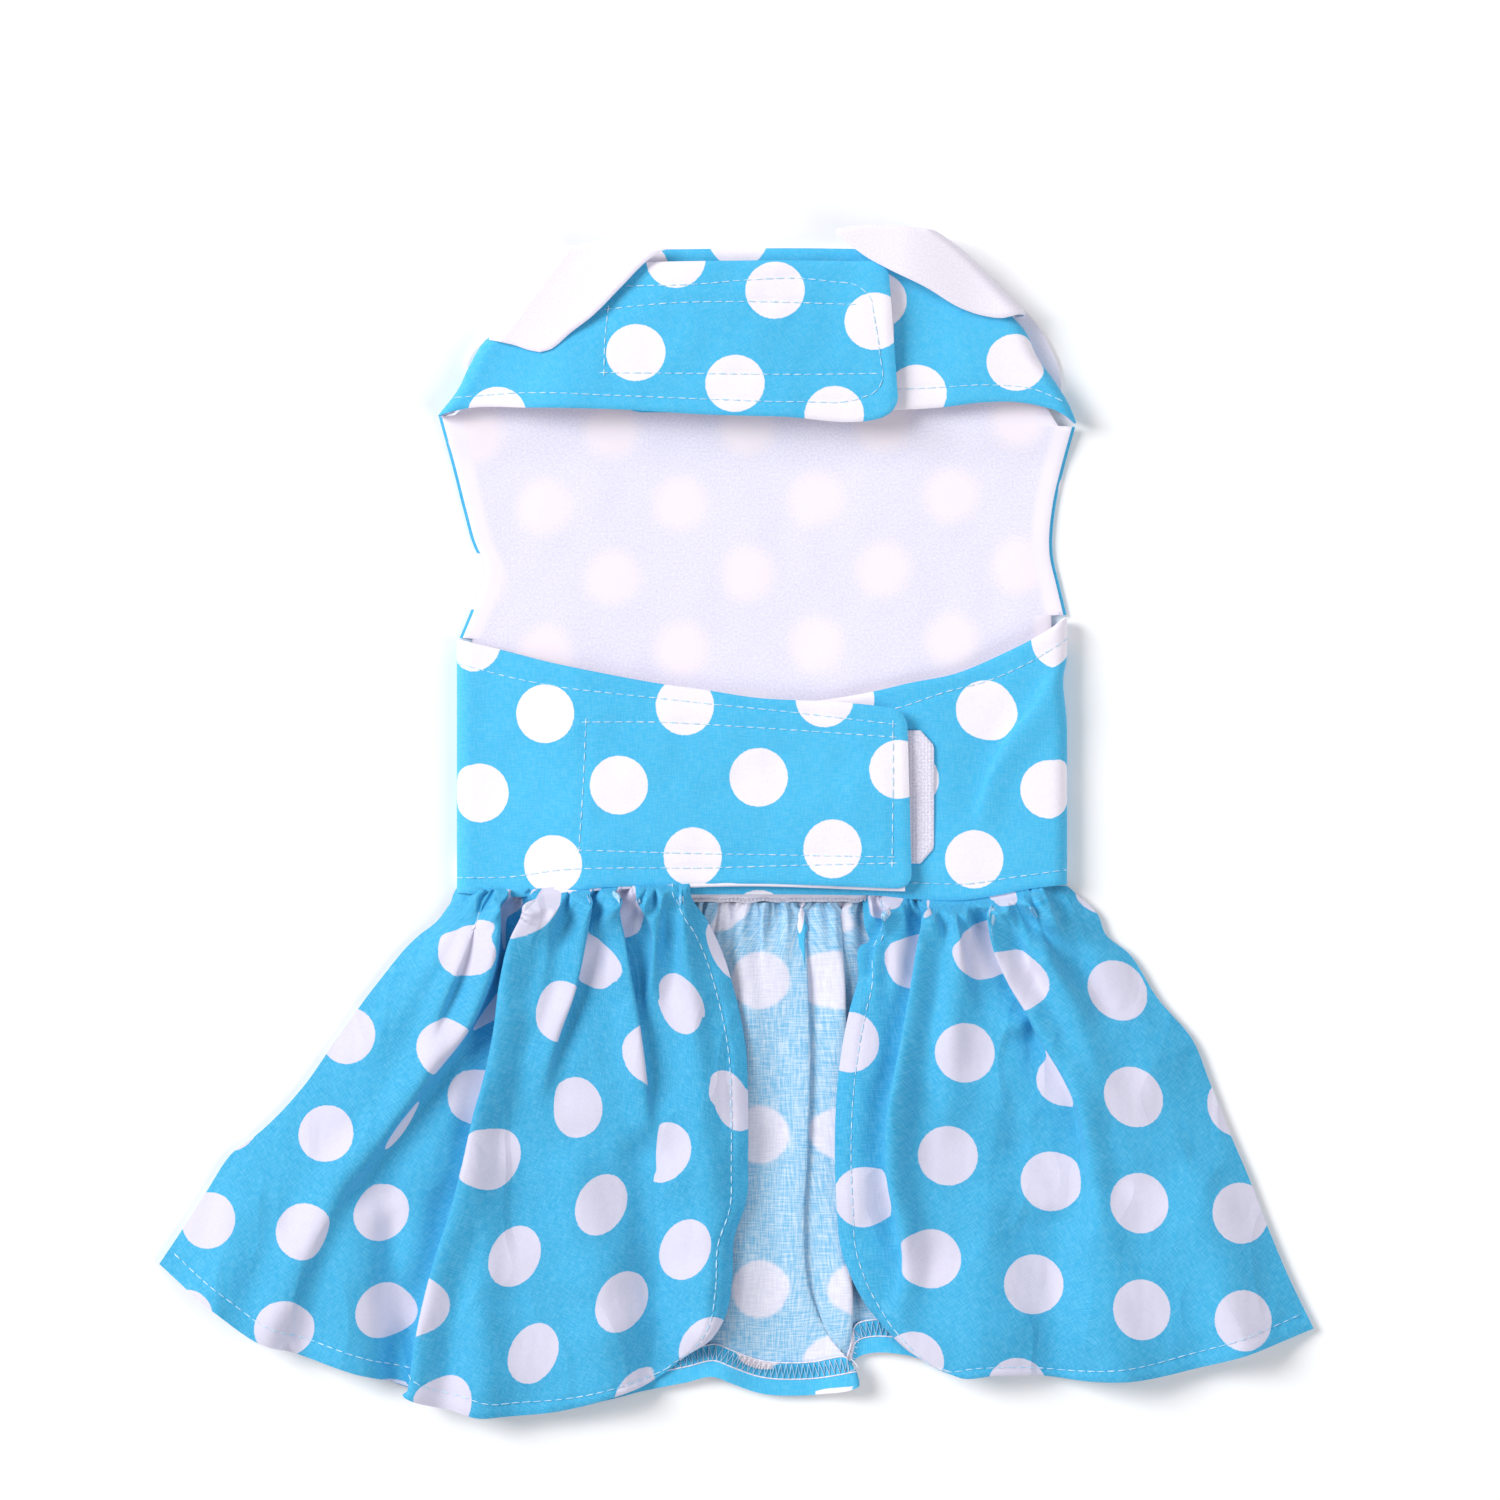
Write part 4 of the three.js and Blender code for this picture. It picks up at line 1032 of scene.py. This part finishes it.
skirtBack = clothSheet("skirtBack", backOver, backFlat, 0.8, [reverse, printed], -1)
size = (np.ptp(x), np.ptp(y))
finished(skirtBack, ["skirt_back"])
print("back skirt made")

# the hem is turned up to the inside: a band of the print's right side along it
hemBand = {"wide": 10.4, "lift": 0.9, "ply": 0.6}
bandRows = np.linspace(0, 1, 11)
sharesAt = 1 - hemBand["wide"] * (1 - bandRows)[None] / drop[:, -1:]
rowAt = np.interp(sharesAt.ravel(), v, np.arange(len(v))).reshape(sharesAt.shape)
low = np.clip(rowAt.astype(int), 0, len(v) - 2)
part = (rowAt - low)[..., None]
pick = np.arange(len(u))[:, None]
band = mix(backOver[pick, low], backOver[pick, low + 1], part)
band[..., 2] += hemBand["lift"]
bandFlat = np.stack([flatX[pick, low], flatY[pick, low]], axis=-1)
bandPiece = clothSheet("hemBand", band, bandFlat, hemBand["ply"], [printed], -1)
finished(bandPiece)

tapeCorner = 5.0
tapes = {
    "bellyLoop": {"middle": (6.8, 30.7), "size": (100, 44), "height": 10.4, "node": "belly_loop_patch"},
    "bellyHook": {"middle": (-7.5, 30.7), "size": (100, 44), "height": 11.6, "node": "belly_hook_patch"},
    "neckLoop": {"middle": (1.5, 181.5), "size": (84, 22), "height": 12.3, "node": "neck_loop_patch"},
    "neckHook": {"middle": (-7.0, 181.5), "size": (84, 22), "height": 13.5, "node": "neck_hook_patch"},
}
for name, spec in tapes.items():
    tapeFinish = hookWhite if name.endswith("Hook") else tapeWhite
    wide, tall = spec["size"]
    a, b = np.meshgrid(bordered(54, 0.012), bordered(26, 0.03), indexing="ij")
    cut = np.clip(tapeCorner - np.minimum(b, 1 - b) * tall, 0, tapeCorner) * 0.9
    x = spec["middle"][0] + (2 * a - 1) * (wide / 2 - cut)
    y = spec["middle"][1] + (b - 0.5) * tall
    edge = np.minimum(np.minimum(a, 1 - a) * wide, np.minimum(b, 1 - b) * tall)
    grain = np.random.RandomState(len(name)).uniform(-0.1, 0.1, x.shape)
    z = spec["height"] - rolled(edge, 1.2, 0.35) + grain * (edge > 1)
    tape = clothSheet(name, np.stack([x, y, z], axis=-1), np.stack([x, y], axis=-1), 0.8, [tapeFinish])
    finished(tape, [spec["node"]])
print("tapes made")

# the collar's under part lies below the neck, and peeks out beside the straps' folds
collarUnder = {
    "left": [(-95.0, 170.9), (-97.7, 172.9), (-96.7, 176.2), (-91.7, 182.2), (-86.5, 188.1), (-73.3, 207.2),
        (-66.7, 211.9)],
    "right": [(95.0, 164.3), (98.7, 163.7), (99.0, 168.3), (95.4, 180.2), (89.8, 188.8), (81.8, 196.0),
        (65.3, 211.9)],
    "height": 1.5,
}
t = np.linspace(0, 1, 40)
leftSide, rightSide = curveAt(collarUnder["left"], t), curveAt(collarUnder["right"], t)
share = bordered(44, 0.01)[:, None, None]
place = mix(leftSide[None], rightSide[None], share)
x, y = place[..., 0], place[..., 1]
z = np.full_like(x, collarUnder["height"])
collarBack = clothSheet("collarBack", np.stack([x, y, z], axis=-1), place, 1.4, [collarWhite])
finished(collarBack, ["collar_back"])


def nodeGroup(name, sockets, kinds, modes, wires):
    # a node group from its inputs, its nodes by short names, their modes, and wires between sockets
    group = bpy.data.node_groups.new(name, "GeometryNodeTree")
    ids = {}
    for label, kind in sockets.items():
        kind = "NodeSocket" + kind
        ids[label] = group.interface.new_socket(label, in_out="INPUT", socket_type=kind).identifier
    group.interface.new_socket("Geometry", in_out="OUTPUT", socket_type="NodeSocketGeometry")
    nodes = {key: group.nodes.new(kind) for key, kind in kinds.items()}
    nodes["given"], nodes["made"] = group.nodes.new("NodeGroupInput"), group.nodes.new("NodeGroupOutput")
    for key, (setting, value) in modes.items():
        setattr(nodes[key], setting, value)
    for source, output, target, entry in wires:
        group.links.new(nodes[source].outputs[output], nodes[target].inputs[entry])
    return group, ids, nodes


curveNodes = {
    "curve": "GeometryNodeMeshToCurve",
    "smooth": "GeometryNodeSetShadeSmooth",
    "paint": "GeometryNodeSetMaterial",
}
curveWires = [
    ("given", "Path", "curve", "Mesh"),
    ("smooth", "Geometry", "paint", "Geometry"),
    ("given", "Thread", "paint", "Material"),
    ("paint", "Geometry", "made", "Geometry"),
]
stitchNodes, stitchIds, parts = nodeGroup(
    "topstitch",
    {"Path": "Geometry", "Pitch": "Float", "Size": "Vector", "Thread": "Material"},
    {
        **curveNodes,
        "resample": "GeometryNodeResampleCurve",
        "tangent": "GeometryNodeInputTangent",
        "align": "FunctionNodeAlignRotationToVector",
        "bead": "GeometryNodeMeshUVSphere",
        "vary": "FunctionNodeRandomValue",
        "scale": "ShaderNodeVectorMath",
        "place": "GeometryNodeInstanceOnPoints",
        "real": "GeometryNodeRealizeInstances",
    },
    {
        "resample": ("mode", "LENGTH"),
        "align": ("axis", "X"),
        "vary": ("data_type", "FLOAT_VECTOR"),
        "scale": ("operation", "MULTIPLY"),
    },
    curveWires + [
        ("curve", "Curve", "resample", "Curve"),
        ("given", "Pitch", "resample", "Length"),
        ("resample", "Curve", "place", "Points"),
        ("bead", "Mesh", "place", "Instance"),
        ("tangent", "Tangent", "align", "Vector"),
        ("align", "Rotation", "place", "Rotation"),
        ("given", "Size", "scale", 0),
        ("vary", "Value", "scale", 1),
        ("scale", "Vector", "place", "Scale"),
        ("place", "Instances", "real", "Geometry"),
        ("real", "Geometry", "smooth", "Geometry"),
    ],
)
for part, values in (
    ("bead", {"Segments": 8, "Rings": 5, "Radius": 0.5}),
    ("vary", {"Min": (0.86, 0.8, 0.8), "Max": (1.06, 1.15, 1.15), "Seed": 4}),
):
    for entry, value in values.items():
        parts[part].inputs[entry].default_value = value
threadNodes, threadIds, parts = nodeGroup(
    "overlockThread",
    {"Path": "Geometry", "Radius": "Float", "Thread": "Material"},
    {**curveNodes, "ring": "GeometryNodeCurvePrimitiveCircle", "tube": "GeometryNodeCurveToMesh"},
    {},
    curveWires + [
        ("curve", "Curve", "tube", "Curve"),
        ("given", "Radius", "ring", "Radius"),
        ("ring", "Curve", "tube", "Profile Curve"),
        ("tube", "Mesh", "smooth", "Geometry"),
    ],
)
parts["ring"].inputs["Resolution"].default_value = 6


def sewn(name, chains, group, ids, values):
    points, edges = [], []
    for chain in chains:
        start = len(points)
        points += [tuple(np.asarray(p) * 0.001) for p in chain]
        edges += [(start + k, start + k + 1) for k in range(len(chain) - 1)]
    mesh = bpy.data.meshes.new(name)
    mesh.from_pydata(points, edges, [])
    piece = bpy.data.objects.new(name, mesh)
    bpy.context.scene.collection.objects.link(piece)
    modifier = piece.modifiers.new("sewing", "NODES")
    modifier.node_group = group
    for label, value in values.items():
        modifier[ids[label]] = value
    depsgraph = bpy.context.evaluated_depsgraph_get()
    made = bpy.data.meshes.new_from_object(piece.evaluated_get(depsgraph))
    piece.modifiers.clear()
    piece.data = made
    made.name = name
    return piece


def topstitch(name, chains):
    size = tuple(s / 1000 for s in cloth["stitchSize"])
    values = {"Pitch": cloth["stitchPitch"] / 1000, "Size": size, "Thread": threadBlue}
    finished(sewn(name, chains, stitchNodes, stitchIds, values))


def onGridRow(over, gap, distance, keep):
    # the chain of points at one distance from the hem
    chain = []
    for i in np.flatnonzero(keep):
        j = np.interp(-distance, -gap[i], np.arange(gap.shape[1]))
        low = min(int(j), gap.shape[1] - 2)
        chain.append(mix(over[i, low], over[i, low + 1], j - low) + np.array([0, 0, 0.16]))
    return chain


for name, spec in (("bellyStitchesLeft", bellyLeft), ("bellyStitchesRight", bellyRight),
                   ("neckStitchesLeft", neckStrapLeft), ("neckStitchesRight", neckStrapRight)):
    topstitch(name, drape(spec["stitches"], straps[name.replace("Stitches", "Strap")]))
inset = cloth["stitchInset"]
for name, (over, drop, reach, u) in (("skirtStitchesLeft", leftSkirt), ("skirtStitchesRight", rightSkirt)):
    hemGap = drop[:, -1:] - drop
    frontGap = (1 - u)[:, None] * reach[None]
    hem = onGridRow(over, hemGap, inset, (frontGap[:, -1] > inset) & (u * reach[-1] > 3))
    edge = onGridRow(over.transpose(1, 0, 2), frontGap.T, inset, hemGap[-1] > inset)
    topstitch(name, [hem, edge])
print("topstitching made")


def ladder(chain, reach, pitch):
    # an overlock's zigzag of thread across a chain of points
    chain = np.asarray(chain, float)
    run = np.concatenate([[0], np.cumsum(np.linalg.norm(np.diff(chain, axis=0), axis=1))])
    places = np.arange(0, run[-1], pitch / 2)
    line = np.stack([np.interp(places, run, chain[:, k]) for k in range(3)], axis=-1)
    ahead = np.gradient(line, axis=0)
    side = np.stack([-ahead[:, 1], ahead[:, 0], 0 * places], axis=-1)
    side /= np.linalg.norm(side, axis=1, keepdims=True)
    swing = np.where(np.arange(len(places)) % 2 == 0, reach / 2, -reach / 2)
    return line + side * swing[:, None]


seamLine = [(x, *seam["thread"]) for x in np.linspace(seam["left"], seam["right"], 160)]
edgeLine = band[:, 0] + np.array([0, 0, 0.15])
needleLine = band[:, 5] + np.array([0, 0, 0.15])
zigzag = {"seam": (1.5, 1.3), "band": (4.6, 1.9), "radius": 0.00024}  # reach and pitch
rungs = ladder((edgeLine + needleLine) / 2, *zigzag["band"])
seamRungs = ladder(seamLine, *zigzag["seam"])
threads = [seamRungs, rungs[6:-6] + (0, 0, 0.3), edgeLine[4:-4], needleLine[4:-4]]
values = {"Radius": zigzag["radius"], "Thread": threadWhite}
finished(sewn("overlock", threads, threadNodes, threadIds, values))
print("overlock made")

ground = {"half": 3, "height": -0.0003}
floorMesh = bpy.data.meshes.new("floor")
corners = [(-1, -1), (1, -1), (1, 1), (-1, 1)]
corners = [(x * ground["half"], y * ground["half"], ground["height"]) for x, y in corners]
floorMesh.from_pydata(corners, [], [(0, 1, 2, 3)])
floor = bpy.data.objects.new("floor", floorMesh)
bpy.context.scene.collection.objects.link(floor)
paper = Finish("paper", roughness=0.9)
paperTone = paper.blend(paper.noise(paper.place, 3.0), linear(253, 253, 254), linear(255, 255, 255))
floorMesh.materials.append(paper.colour(paperTone))

light = {
    "skyStrength": 0.36,
    "key": {"power": 500.0, "place": (-5.2, 2.4, 4.2), "size": 3.6},
    "fill": {"power": 66.0, "place": (3.0, -1.2, 3.0), "size": 2.4},
}
world = bpy.data.worlds.new("studio")
world.use_nodes = True
world.node_tree.nodes["Background"].inputs["Color"].default_value = linear(246, 249, 255)
world.node_tree.nodes["Background"].inputs["Strength"].default_value = light["skyStrength"]
bpy.context.scene.world = world
for name in ("key", "fill"):
    power, place, size = (light[name][k] for k in ("power", "place", "size"))
    lamp = bpy.data.lights.new(name, "AREA")
    lamp.energy, lamp.size = power, size
    holder = bpy.data.objects.new(name, lamp)
    holder.location = place
    holder.rotation_euler = (Vector((0, 0, 0)) - Vector(place)).to_track_quat("-Z", "Y").to_euler()
    bpy.context.scene.collection.objects.link(holder)

view = {"place": (-0.00396, 0.0462, 2.4), "distance": 2.388, "width": 0.495}
camera = bpy.data.objects.new("camera", bpy.data.cameras.new("camera"))
camera.location = view["place"]
camera.data.lens = camera.data.sensor_width * view["distance"] / view["width"]
bpy.context.scene.collection.objects.link(camera)
bpy.context.scene.camera = camera
bpy.context.scene.view_settings.view_transform = "Standard"

print("scene made")
